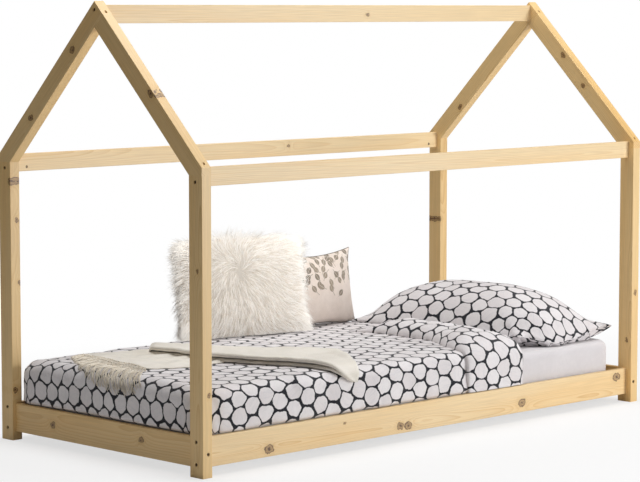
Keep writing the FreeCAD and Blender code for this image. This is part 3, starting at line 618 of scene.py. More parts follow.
@dataclass(frozen=True)
class HoneycombFinish(ClothFinish):
    """White cotton printed with a dark honeycomb."""

    ink: Colour = (0.011, 0.012, 0.018)
    pencil: Colour = (0.45, 0.47, 0.55)

    def pattern(self, g: Graph, effects: Effects, place: NodeSocket) -> NodeSocket:
        """Cells of the two tones with faint strokes, and ink between them.

        Args:
            g: the material's graph.
            effects: the shared node groups.
            place: the flat cloth coordinates.

        Returns:
            The colour.
        """
        drawn = g.group(effects.honeycomb, Vector=place)
        ground = g.mix(drawn["Cell Shade"], self.shadow, self.colour)
        ground = g.mix(g.times(drawn["Sketch"], 0.16), ground, self.pencil)
        return g.mix(drawn["Ink"], ground, self.ink)


@dataclass(frozen=True)
class LeafFinish(ClothFinish):
    """Beige cotton with a grey-brown leaf print on its upper part."""

    leaf: Colour = (0.25, 0.205, 0.155)
    layers: tuple[tuple[Point, float], ...] = (((0.0, 0.0, 0.0), 0.006), ((0.517, 0.021, 0.0), 0.034))

    def pattern(self, g: Graph, effects: Effects, place: NodeSocket) -> NodeSocket:
        """The ground under each layer of leaves; a layer is an offset and the height where it starts.

        Args:
            g: the material's graph.
            effects: the shared node groups.
            place: the flat cloth coordinates.

        Returns:
            The colour.
        """
        ground = colour = self.mottled(g, place, 14.0, 2.0)
        for offset, start in self.layers:
            drawn = g.group(effects.leaves, Vector=g.vector("ADD", place, offset), Start=start)
            ink = g.mix(drawn["Tone"], self.leaf, tuple(1.5 * c for c in self.leaf))
            ink = g.mix(g.times(drawn["Vein"], 0.6), ink, ground)
            colour = g.mix(drawn["Leaf"], colour, ink)
        return colour


@dataclass(frozen=True)
class YarnFinish:
    """Twisted wool yarn of the fringe, one tone a strand, with painted shade in the grooves of its twist."""

    light: Colour = (0.95, 0.90, 0.80)
    # dark: a strand tone, and also the painted shade in the twist's grooves
    dark: Colour = (0.70, 0.60, 0.46)

    def material(self, name: str) -> Material:
        """Makes the material; the first cloth coordinate is the strand's own number.

        Args:
            name: the material's name.

        Returns:
            The material.
        """
        material, g, shader = new_material(name, Roughness=0.85, Sheen_Weight=0.3)
        strand, run, _ = g.split(g.cloth())
        twist = g.math("SINE", g.math("MULTIPLY_ADD", run, 150.0, g.times(strand, 40.0)))
        colour = g.mix(g.random(g.join(strand, 0.0)), self.dark, self.light)
        # painted shade: the grooves of the twist darken towards the dark tone
        g.plug(shader["Base Color"], g.mix(g.ramp(twist, -1.0, 0.4, 0.35, 0.0), colour, self.dark))
        add_bump(g, shader, twist, 0.4, 0.0006)
        return material


@dataclass(frozen=True)
class PileFinish:
    """Long white pile, with painted shade that darkens it towards the roots, deep among the strands."""

    tip: Colour = (0.96, 0.93, 0.885)
    # painted shade: the root colour stands in for the shade deep in the pile
    root: Colour = (0.70, 0.61, 0.51)

    def material(self, name: str) -> Material:
        """Makes the material; cloth coordinates hold a strand's lock and the share of its length.

        Args:
            name: the material's name.

        Returns:
            The material.
        """
        material, g, shader = new_material(name, Roughness=0.6, Sheen_Weight=0.4, Specular_IOR_Level=0.3)
        lock, share, _ = g.split(g.cloth())
        tone = g.random(g.join(g.math("SNAP", lock, 0.01), 0.0))
        tip = g.mix(tone, tuple(0.93 * c for c in self.tip), self.tip)
        # painted shade: the colour darkens from the tips down to the roots
        g.plug(shader["Base Color"], g.mix(g.ramp(share, 0.0, 0.55), self.root, tip))
        add_bump(g, shader, g.noise(g.join(g.times(lock, 400.0), share), 3.0, 1.0), 0.2, 0.0004)
        return material


# ---------------------------------------------------------------- array and mesh helpers
def unit(vectors: Array, least: float = 1e-9) -> Array:
    """Vectors brought to length 1."""
    return vectors / np.maximum(np.linalg.norm(vectors, axis=-1, keepdims=True), least)


def pair(first: Array, second: Array) -> Array:
    """Two coordinates side by side as the last size."""
    return np.stack(np.broadcast_arrays(first, second), axis=-1)


def run_along(path: Array) -> Array:
    """Length from a path's start to each of its points."""
    return np.concatenate([[0], np.cumsum(np.linalg.norm(np.diff(path, axis=0), axis=1))])


def smooth_step(low: float, high: float, value: Array) -> Array:
    """0 below low, 1 above high, smooth between."""
    share = np.clip((value - low) / (high - low), 0.0, 1.0)
    return share * share * (3 - 2 * share)


def rounded(share: Array) -> Array:
    """Rises like a quarter of a circle, from 0 at share 0 to 1 at share 1."""
    return np.sqrt(np.clip(1 - (1 - np.clip(share, 0, 1)) ** 2, 0, 1))


def fractal(x: float, y: float, z: float, octaves: int = 2) -> float:
    """Smooth noise of a few octaves, from about -1 to 1.

    Args:
        x: first coordinate.
        y: second.
        z: third.
        octaves: how many sizes of noise are added.

    Returns:
        The noise.
    """
    total, weight, size = 0.0, 1.0, 1.0
    for _ in range(octaves):
        total += weight * noise.noise(Vector((x * size, y * size, z * size)))
        weight *= 0.5
        size *= 2.03
    return total


def noise_grid(u: Array, v: Array, fu: float, fv: float, seed: float, octaves: int = 2) -> Array:
    """Noise over a grid of flat coordinates, fu and fv waves a metre.

    Args:
        u: first flat coordinates.
        v: second flat coordinates.
        fu: waves a metre along u.
        fv: waves a metre along v.
        seed: sets the pattern.
        octaves: as for fractal.

    Returns:
        The noise, from about -1 to 1, in the grid's shape.
    """
    u, v = np.broadcast_arrays(u, v)
    flat = [fractal(a * fu + seed, b * fv - seed, seed * 1.7, octaves) for a, b in zip(u.ravel(), v.ravel())]
    return np.array(flat).reshape(u.shape)


def ridged(u: Array, v: Array, fu: float, fv: float, seed: float) -> Array:
    """Sharp-crested creases, 0 in the flats and 1 on a crest."""
    return np.clip(1.0 - 2.6 * np.abs(noise_grid(u, v, fu, fv, seed)), 0.0, 1.0) ** 2


def along_line(corners: Route, share: Array, smooth: int = 9) -> Array:
    """Points at shares of the length of a line through corners, its bends softened.

    Args:
        corners: the line's corners, in flat coordinates.
        share: shares of its length.
        smooth: how many times the line is softened.

    Returns:
        Flat points, with 2 as the last size.
    """
    knots = np.array(corners, float)
    run = run_along(knots)
    fine = np.linspace(0, run[-1], 240)
    line = pair(*(np.interp(fine, run, knots[:, k]) for k in (0, 1)))
    for _ in range(smooth):
        line[1:-1] = (line[:-2] + 2 * line[1:-1] + line[2:]) / 4
    return pair(*(np.interp(share * run[-1], fine, line[:, k]) for k in (0, 1)))


def turned(points: Array, lean: float, turn: float) -> Array:
    """Points leant back about X, then turned about Z, both in degrees.

    Args:
        points: the points, with 3 as the last size.
        lean: lean back about X.
        turn: turn about Z.

    Returns:
        The turned points.
    """
    a, b = math.radians(-lean), math.radians(turn)
    tilt = np.array([[1, 0, 0], [0, math.cos(a), -math.sin(a)], [0, math.sin(a), math.cos(a)]])
    spin = np.array([[math.cos(b), -math.sin(b), 0], [math.sin(b), math.cos(b), 0], [0, 0, 1]])
    return points @ (spin @ tilt).T


def grid_faces(rows: int, columns: int, start: int = 0, flip: bool = False) -> Faces:
    """Quads of a rows by columns grid whose points are numbered row by row from start.

    Args:
        rows: rows of points.
        columns: points in a row.
        start: the first point's number.
        flip: turns the faces over.

    Returns:
        The quads.
    """
    ids = start + np.arange(rows * columns).reshape(rows, columns)
    quads = np.stack([ids[:-1, :-1], ids[:-1, 1:], ids[1:, 1:], ids[1:, :-1]], axis=-1).reshape(-1, 4)
    return (quads[:, ::-1] if flip else quads).tolist()


def band_faces(ids: Array) -> Faces:
    """Quads between neighbouring closed rings; the last two sizes of ids are rings and places round them.

    Args:
        ids: point numbers, with rings and places round them as the last sizes.

    Returns:
        The quads.
    """
    after = np.roll(ids, -1, axis=-1)
    quads = [ids[..., :-1, :], after[..., :-1, :], after[..., 1:, :], ids[..., 1:, :]]
    return np.stack(quads, axis=-1).reshape(-1, 4).tolist()


def rim_of(rows: int, columns: int) -> list[int]:
    """Point numbers round the edge of a grid, in order."""
    ids = np.arange(rows * columns).reshape(rows, columns)
    return np.concatenate([ids[0], ids[1:, -1], ids[-1, -2::-1], ids[-2:0:-1, 0]]).tolist()


def closed_shell(outer: Array, inner: Array, cloth: Array) -> MeshData:
    """Joins two grids of the same shape along their rims into one closed form.

    Args:
        outer: rows x columns x 3 points of the outside.
        inner: the same for the inside.
        cloth: rows x columns x 2 flat coordinates.

    Returns:
        Points, faces and flat coordinates.
    """
    rows, columns = outer.shape[:2]
    count = rows * columns
    rim = rim_of(rows, columns)
    faces = grid_faces(rows, columns) + grid_faces(rows, columns, count, flip=True)
    faces += [(b, a, a + count, b + count) for a, b in zip(rim, rim[1:] + rim[:1])]
    points = np.concatenate([outer.reshape(-1, 3), inner.reshape(-1, 3)])
    return points, faces, np.concatenate([cloth.reshape(-1, 2)] * 2)


def joined(parts: list[MeshData]) -> MeshData:
    """Several forms as one.

    Args:
        parts: the forms.

    Returns:
        Their points, faces and flat coordinates together.
    """
    faces, start = [], 0
    for points, own, _ in parts:
        faces += [tuple(k + start for k in face) for face in own]
        start += len(points)
    return np.concatenate([part[0] for part in parts]), faces, np.concatenate([part[2] for part in parts])


def tubes(paths: Array, radius: float, taper: float, tag: Array) -> MeshData:
    """Thin strands of yarn, four-sided, one along each path.

    Args:
        paths: strands x steps x 3 points, none of them running up.
        radius: at the start.
        taper: share of the radius left at the end.
        tag: a number for each strand, kept in the cloth coordinates.

    Returns:
        Points, faces and cloth coordinates.
    """
    count, steps = paths.shape[:2]
    ahead = unit(np.gradient(paths, axis=1))
    side = unit(np.cross(ahead, (0.2, 0.0, 1.0)))
    over = np.cross(side, ahead)
    size = radius * np.linspace(1.0, taper, steps)[None, :, None]
    angles = [QUARTER * k for k in range(4)]
    corners = [paths + size * (math.cos(a) * side + math.sin(a) * over) for a in angles]
    points = np.stack(corners, axis=2).reshape(-1, 3)
    run = np.broadcast_to(np.linspace(0, 1, steps)[None, :, None], (count, steps, 4))
    ids = np.arange(count * steps * 4).reshape(count, steps, 4)
    faces = band_faces(ids) + ids[:, -1].tolist() + ids[:, 0, ::-1].tolist()
    return points, faces, pair(tag[:, None, None], run).reshape(-1, 2)


def make_piece(name: str, form: MeshData, material: Material, body: str) -> Object:
    """A smooth mesh piece with flat cloth coordinates.

    Args:
        name: the piece's name.
        form: its points, its faces, and a row of u, v for each point.
        material: its finish.
        body: the body that it rides on.

    Returns:
        The new object.
    """
    points, faces, cloth = form
    mesh = bpy.data.meshes.new(name)
    mesh.from_pydata(points.tolist(), [], faces)
    layer = mesh.uv_layers.new(name="cloth")
    loops = np.empty(len(mesh.loops), dtype=np.int32)
    mesh.loops.foreach_get("vertex_index", loops)
    layer.data.foreach_set("uv", cloth[loops].astype(np.float32).ravel())
    mesh.polygons.foreach_set("use_smooth", [True] * len(mesh.polygons))
    mesh.materials.append(material)
    mesh.update()
    piece = bpy.data.objects.new(name, mesh)
    bpy.context.scene.collection.objects.link(piece)
    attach(piece, body)
    return piece


def piping(name: str, path: Array, radius: float, material: Material, body: str) -> None:
    """A thin corded edge along a closed path.

    Args:
        name: the piece's name.
        path: its points, one row each.
        radius: of the cord.
        material: its finish.
        body: the body that it rides on.
    """
    sides = 6
    ahead = unit(np.roll(path, -1, axis=0) - np.roll(path, 1, axis=0))
    out = path - path.mean(axis=0)
    out = unit(out - ahead * np.sum(out * ahead, axis=1, keepdims=True))
    up = np.cross(ahead, out)
    angle = 2 * math.pi * np.arange(sides)[None, :, None] / sides
    points = path[:, None] + radius * (np.cos(angle) * out[:, None] + np.sin(angle) * up[:, None])
    cloth = pair(run_along(path)[:, None], radius * np.arange(sides)[None, :])
    ids = np.arange(len(path) * sides).reshape(-1, sides)
    form = points.reshape(-1, 3), band_faces(np.concatenate([ids, ids[:1]])), cloth.reshape(-1, 2)
    make_piece(name, form, material, body)


def read_points(mesh: Mesh) -> Array:
    """A mesh's points, one row each.

    Args:
        mesh: a mesh.

    Returns:
        Its points.
    """
    points = np.empty(len(mesh.vertices) * 3, dtype=np.float32)
    mesh.vertices.foreach_get("co", points)
    return points.reshape(-1, 3)


def write_points(mesh: Mesh, points: Array) -> None:
    """Moves a mesh's points."""
    mesh.vertices.foreach_set("co", points.astype(np.float32).ravel())
    mesh.update()


def settle(piece: Object, frames: int, pressure: float, grow: float, cap: float) -> None:
    """Lets Blender's cloth fill the piece out and crease it, then keeps the result.

    Args:
        piece: a mesh piece.
        frames: how long it settles.
        pressure: air pressure inside.
        grow: how much larger the cloth is than the form, as a share.
        cap: the most a point may move, in metres.
    """
    start = read_points(piece.data)
    cloth = piece.modifiers.new("Settle", "CLOTH")
    settings = cloth.settings
    settings.quality = 5
    settings.mass = 0.3
    settings.tension_stiffness = 15
    settings.compression_stiffness = 15
    settings.shear_stiffness = 5
    settings.bending_stiffness = 0.6
    settings.use_pressure = True
    settings.uniform_pressure_force = pressure
    settings.shrink_min = -grow
    settings.effector_weights.gravity = 0.0
    cloth.point_cache.frame_start, cloth.point_cache.frame_end = 1, frames
    for number in range(1, frames + 1):
        bpy.context.scene.frame_set(number)
    graph = bpy.context.evaluated_depsgraph_get()
    move = read_points(piece.evaluated_get(graph).data) - start
    piece.modifiers.remove(cloth)
    bpy.context.scene.frame_set(1)
    length = np.linalg.norm(move, axis=1, keepdims=True)
    write_points(piece.data, start + move * np.minimum(1.0, cap / np.maximum(length, 1e-9)))


# ---------------------------------------------------------------- timber frame
def dress_node(node: str, material: Material) -> None:
    """Puts a material on every slot of a CAD node."""
    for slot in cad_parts[node].material_slots:
        slot.material = material


class Lie(Enum):
    """Which way a timber's grain and its wider side run: along the bed, across it, up, or up a roof slope."""

    ALONG = ((1, 0, 0), (0, 0, 1))
    ACROSS = ((0, 1, 0), (0, 0, 1))
    UP = ((0, 0, 1), (0, 1, 0))
    FRONT_SLOPE = ((0, math.sqrt(0.5), math.sqrt(0.5)), (0, math.sqrt(0.5), -math.sqrt(0.5)))
    BACK_SLOPE = ((0, -math.sqrt(0.5), math.sqrt(0.5)), (0, math.sqrt(0.5), math.sqrt(0.5)))
    FLAT_ACROSS = ((0, 1, 0), (1, 0, 0))


@dataclass
class TimberFrame:
    """The gables, rails, beam and slats, each with its own cut of pine."""

    effects: Effects
    finish: PineFinish = PineFinish()
    slat_finish: PineFinish = PineFinish(early=(0.82, 0.66, 0.44), late=(0.68, 0.48, 0.27))
    # painted light: a lighter, paler copy of the pine for the rails and the ridge beam, standing in for the
    # light on their front faces
    rail_painted_light_finish: PineFinish = PineFinish(early=(0.86, 0.66, 0.38), late=(0.73, 0.49, 0.22))
    knots: dict[str, tuple[Knot, ...]] = field(default_factory=lambda: {
        "side_rail_front": (
            Knot((-0.748, 0, 0.052), 0.013), Knot((-0.165, 0, 0.053), 0.011), Knot((-0.128, 0, 0.049), 0.012),
            Knot((0.434, 0, 0.060), 0.013), Knot((0.946, 0, 0.094), 0.013), Knot((-0.42, 0, 0.092), 0.004),
        ),
        "side_rail_back": (Knot((0.31, 0, 0.061), 0.012), Knot((-0.52, 0, 0.088), 0.009)),
        "foot_board": (Knot((0, 0.241, 0.073), 0.009), Knot((0, -0.192, 0.079), 0.008)),
        "head_board": (Knot((0, -0.11, 0.066), 0.011), Knot((0, 0.30, 0.05), 0.007)),
        "post_foot_front": (Knot((-1.013, -0.49, 0.248), 0.006, True), Knot((-1.019, -0.47, 0.62), 0.005)),
        "post_foot_back": (
            Knot((-1.038, 0.434, 0.841), 0.008), Knot((-1.013, 0.43, 0.716), 0.006, True),
            Knot((-1.004, 0.43, 0.511), 0.006, True), Knot((-1.026, 0.43, 0.164), 0.007, True),
        ),
        "post_head_front": (Knot((1.02, -0.49, 0.39), 0.007, True), Knot((1.02, -0.47, 0.22), 0.006)),
        "post_head_back": (Knot((1.0, 0.462, 0.595), 0.007), Knot((1.0, 0.43, 0.597), 0.006, True)),
        "rafter_foot_front": (Knot((-1.038, -0.262, 1.139), 0.010), Knot((-1.038, -0.285, 1.136), 0.006)),
        "rafter_foot_back": (Knot((-1.038, 0.109, 1.266), 0.009), Knot((-1.038, 0.321, 1.048), 0.008)),
        "rafter_head_front": (Knot((1.0, -0.165, 1.227), 0.008), Knot((1.0, -0.259, 1.118), 0.007)),
        "rafter_head_back": (Knot((1.0, 0.334, 1.025), 0.008),),
        "eave_rail_back": (Knot((0.22, 0.46, 0.905), 0.005),),
        "ridge_beam": (Knot((0.15, 0, 1.372), 0.006),),
        "slat_04": (Knot((-0.55, 0.21, 0.06), 0.009),),
        "slat_09": (Knot((0.27, -0.16, 0.06), 0.010),),
    })

    def lie_of(self, node: str) -> Lie:
        """How a timber lies, from its name.

        Args:
            node: the CAD node's name.

        Returns:
            Its lie.
        """
        if node.startswith("post"):
            return Lie.UP
        if node.startswith("rafter"):
            return Lie.FRONT_SLOPE if node.endswith("front") else Lie.BACK_SLOPE
        if node in ("foot_board", "head_board"):
            return Lie.ACROSS
        return Lie.FLAT_ACROSS if node.startswith("slat_") and node[-1].isdigit() else Lie.ALONG

    def finish_of(self, node: str) -> PineFinish:
        """A timber's finish, from its name; the rails and the ridge beam take the lighter copy with painted
        light.
        """
        # painted light: the rails and the ridge beam take the lighter copy of the pine
        if "_rail_" in node or node == "ridge_beam":
            return self.rail_painted_light_finish
        return self.slat_finish if node.startswith("slat_") else self.finish

    def build(self) -> None:
        """Gives every timber its material."""
        starts, ends = ("post", "rafter", "ridge_beam", "slat_"), ("_board", "_rail_front", "_rail_back")
        nodes = [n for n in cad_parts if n.startswith(starts) or n.endswith(ends)]
        for number, node in enumerate(n for n in sorted(nodes) if n != "slat_screws"):
            centre = tuple((a + b) / 2 for a, b in zip(*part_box(node)))
            cut = Cut(*self.lie_of(node).value, centre, 1.37 * number, self.knots.get(node, ()))
            dress_node(node, self.finish_of(node).material(self.effects, f"pine_{node}", cut))
        log.info("timbers dressed: %d", number + 1)


@dataclass
class Fasteners:
    """Bolts, barrel nuts, screws and dowels."""

    effects: Effects
    bolt: SteelFinish = SteelFinish((0.20, 0.15, 0.10))
    screw: SteelFinish = SteelFinish((0.30, 0.23, 0.15))
    beech: PineFinish = PineFinish(early=(0.70, 0.52, 0.35), late=(0.62, 0.43, 0.27))

    def build(self) -> None:
        """Dresses each group of fasteners."""
        zinc = self.bolt.material(self.effects, "zinc_bolt")
        cut = Cut(*Lie.ALONG.value, (0, 0, 0), 3.3)
        finishes = {
            "_bolts": zinc, "_nuts": zinc, "_screws": self.screw.material(self.effects, "zinc_screw"),
            "_dowels": self.beech.material(self.effects, "beech_dowel", cut),
        }
        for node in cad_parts:
            for ending, material in finishes.items():
                if node.endswith(ending):
                    dress_node(node, material)
        log.info("fasteners dressed")


# ---------------------------------------------------------------- duvet
@dataclass
class QuiltForm:
    """The rounded block that the duvet makes over the mattress, and the flat cloth that covers it."""

    foot: float = -1.020
    head: float = 0.432
    half_width: float = 0.464
    bottom: float = 0.1215
    top: float = 0.2627
    crown: float = 0.009
    shoulder: float = 0.050
    corner: float = 0.0942

    def lay(self, p: Array, q: Array, inset: float = 0.0) -> tuple[Array, Array]:
        """Lays flat cloth over the block.

        Args:
            p: flat coordinate along the bed; it goes past the foot for what hangs there.
            q: flat coordinate across the bed, hanging parts included.
            inset: how far inside the duvet's outer side the cloth lies.

        Returns:
            Points and outward normals, each with 3 as the last size.
        """
        bend, radius = self.shoulder - inset, self.corner - inset
        flat = radius - bend
        side = self.half_width - inset
        centre_p, centre_q = self.foot + inset + radius, side - radius
        out_p = np.maximum(centre_p - p, 0.0)
        out_q = np.maximum(np.abs(q) - centre_q, 0.0)
        reach = np.hypot(out_p, out_q)
        share_p, share_q = out_p / np.maximum(reach, 1e-9), out_q / np.maximum(reach, 1e-9)
        turn = np.clip((reach - flat) / bend, 0.0, QUARTER)
        along = np.minimum(reach, flat) + bend * np.sin(turn)
        drop = bend * (1 - np.cos(turn)) + np.maximum(reach - flat - bend * QUARTER, 0.0)
        x = np.maximum(p, centre_p) - along * share_p
        y = np.sign(q) * (np.minimum(np.abs(q), centre_q) + along * share_q)
        rise = self.crown * (1 - np.clip(np.abs(y) / (side - bend), 0, 1) ** 2)
        lean = np.sin(turn)
        normal = np.stack([-lean * share_p, np.sign(q) * lean * share_q, np.cos(turn)], axis=-1)
        return np.stack([x, y, self.top - inset + rise - drop], axis=-1), normal

    def reach_at(self) -> float:
        """Flat length from the corner's centre out to the hem."""
        return self.corner - self.shoulder + self.shoulder * QUARTER + self.top - self.shoulder - self.bottom

    def cloth_grid(self, step: float) -> tuple[Array, Array]:
        """The two flat coordinates of a grid of this step over the cloth, its foot corners rounded.

        Args:
            step: spacing of the grid.

        Returns:
            The two flat coordinates, each rows x columns.
        """
        reach = self.reach_at()
        centre_p = self.foot + self.corner
        centre_q = self.half_width - self.corner
        hanging = max(3, round(reach / step))
        p_line = np.concatenate([
            np.linspace(centre_p - reach, centre_p, hanging, endpoint=False),
            np.linspace(centre_p, self.head, round((self.head - centre_p) / step)),
        ])
        q_side = np.linspace(centre_q, centre_q + reach, hanging)[1:]
        q_mid = np.linspace(-centre_q, centre_q, round(2 * centre_q / step))
        p, q = np.meshgrid(p_line, np.concatenate([-q_side[::-1], q_mid, q_side]), indexing="ij")
        u = np.clip((centre_p - p) / reach, 0.0, 1.0)
        v = np.clip((np.abs(q) - centre_q) / reach, 0.0, 1.0)
        corner = (u > 0) & (v > 0)
        p = np.where(corner, centre_p - reach * u * np.sqrt(1 - v * v / 2), p)
        q = np.where(corner, np.sign(q) * (centre_q + reach * v * np.sqrt(1 - u * u / 2)), q)
        return p, q


QUILT = QuiltForm()


@dataclass
class Duvet:
    """The quilt in its honeycomb cover, with its upper end turned back."""

    material: Material
    form: QuiltForm = field(default_factory=lambda: QUILT)
    step: float = 0.0095
    thickness: float = 0.0180
    lining_top: float = 0.2236
    relief_top: float = 0.0022
    hem: float = 0.012
    flap_rows: int = 46
    flap_columns: int = 96
    flap_foot: float = 0.168
    flap_head: float = 0.436
    flap_back: float = 0.150
    flap_crest: float = 0.046
    flap_hanging: int = 30  # columns of the flap over the front rail
    flap_bend: float = -0.38  # where they begin to hang
    flap_low: float = 0.2245  # the lowest that its rolled end comes
    flap_print: float = 0.632  # the cloth's length at its first row, which sets the print's place
    flap_roll: float = 0.82  # the share of the flap's rows that lies on the quilt

    def relief(self, p: Array, q: Array) -> Array:
        """How far the filled cloth lies over the form (mostly under it), with pillowing and creases.

        Args:
            p: flat coordinate along the bed.
            q: flat coordinate across it.

        Returns:
            The height over the form, in metres.
        """
        swell = 0.0036 * noise_grid(p, q, 3.1, 3.6, 4.0)
        soft = 0.0018 * noise_grid(p, q, 11.0, 12.0, 9.0)
        hang = np.clip(smooth_step(0.39, 0.47, np.abs(q)) + smooth_step(-0.95, -1.02, p), 0, 1)
        folds = 0.0042 * hang * noise_grid(p, q, 13.0, 4.0, 2.2)
        crease = 0.0028 * ridged(p, q, 5.0, 9.0, 6.5) + 0.0020 * ridged(p, q, 9.0, 4.5, 1.5)
        return np.minimum(-0.0034 + swell + soft + folds - crease * (0.5 + 0.7 * hang), self.relief_top)

    def build(self) -> None:
        """Builds the quilt and its turned-back end."""
        form = self.form
        p, q = form.cloth_grid(self.step)
        points, normals = form.lay(p, q)
        hem = np.clip((form.bottom + self.hem - points[..., 2]) / self.hem, 0, 1)
        outer = points + normals * (self.relief(p, q) - 0.006 * hem ** 2)[..., None]
        outer[..., 2] = np.maximum(outer[..., 2], form.bottom)
        inner, _ = form.lay(p, q, self.thickness)
        inner[..., 2] = np.clip(inner[..., 2], form.bottom, self.lining_top)
        shell = closed_shell(outer, inner, pair(p, q))
        quilt = make_piece("duvet_quilt", shell, self.material, "duvet")
        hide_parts("duvet")
        self.build_flap()
        log.info("duvet: %d points", len(quilt.data.vertices))

    def build_flap(self) -> None:
        """The turned-back end: a soft roll over the quilt's upper end."""
        form = self.form
        hang = -form.half_width - (form.reach_at() - form.corner) + 0.0015
        q_line = np.concatenate([
            np.linspace(hang, self.flap_bend, self.flap_hanging, endpoint=False),
            np.linspace(self.flap_bend, self.flap_back, self.flap_columns - self.flap_hanging),
        ])
        s, q = np.meshgrid(np.linspace(0.0, 1.0, self.flap_rows), q_line, indexing="ij")
        edge = self.flap_foot + 0.085 * smooth_step(-0.42, -0.18, q) - 0.03 * smooth_step(0.02, 0.15, q)
        edge = edge + 0.006 * noise_grid(s, q, 0.0, 9.0, 3.0)
        lying = np.clip(s / self.flap_roll, 0, 1)
        p = edge + (self.flap_head - edge) * lying
        base, normal = form.lay(p, q)
        taper = smooth_step(self.flap_back, self.flap_back - 0.16, q)
        side = smooth_step(-form.half_width - 0.012, -form.half_width + 0.10, q)
        puff = rounded(s / 0.16)
        body = 0.55 + 0.45 * np.sin(lying * math.pi) ** 0.8
        height = (0.0075 + (self.flap_crest - 0.0095) * side) * puff * body * taper
        height += taper * 0.003 * noise_grid(p, q, 9.0, 10.0, 7.7) * puff
        height -= taper * 0.0035 * ridged(p, q, 6.0, 13.0, 3.9) * puff * (0.3 + side)
        outer = base + normal * height[..., None]
        over = np.clip((s - self.flap_roll) / (1 - self.flap_roll), 0, 1)
        low = np.maximum(outer[..., 2] - 0.075, self.flap_low)
        outer[..., 0] += 0.006 * np.sin(over * QUARTER) - 0.004 * over
        outer[..., 2] += (low - outer[..., 2]) * (1 - np.cos(over * QUARTER))
        outer[..., 2] = np.maximum(outer[..., 2], form.bottom + 0.001)
        inner = base - normal * 0.012
        inner[..., 0] -= 0.012 * over
        inner[..., 2] = np.maximum(np.minimum(inner[..., 2], outer[..., 2] - 0.001), form.bottom + 0.0005)
        run = np.cumsum(np.linalg.norm(np.diff(outer, axis=0, prepend=outer[:1]), axis=2), axis=0)
        shell = closed_shell(outer, inner, pair(self.flap_print - run, q))
        flap = make_piece("duvet_turned_end", shell, self.material, "duvet")


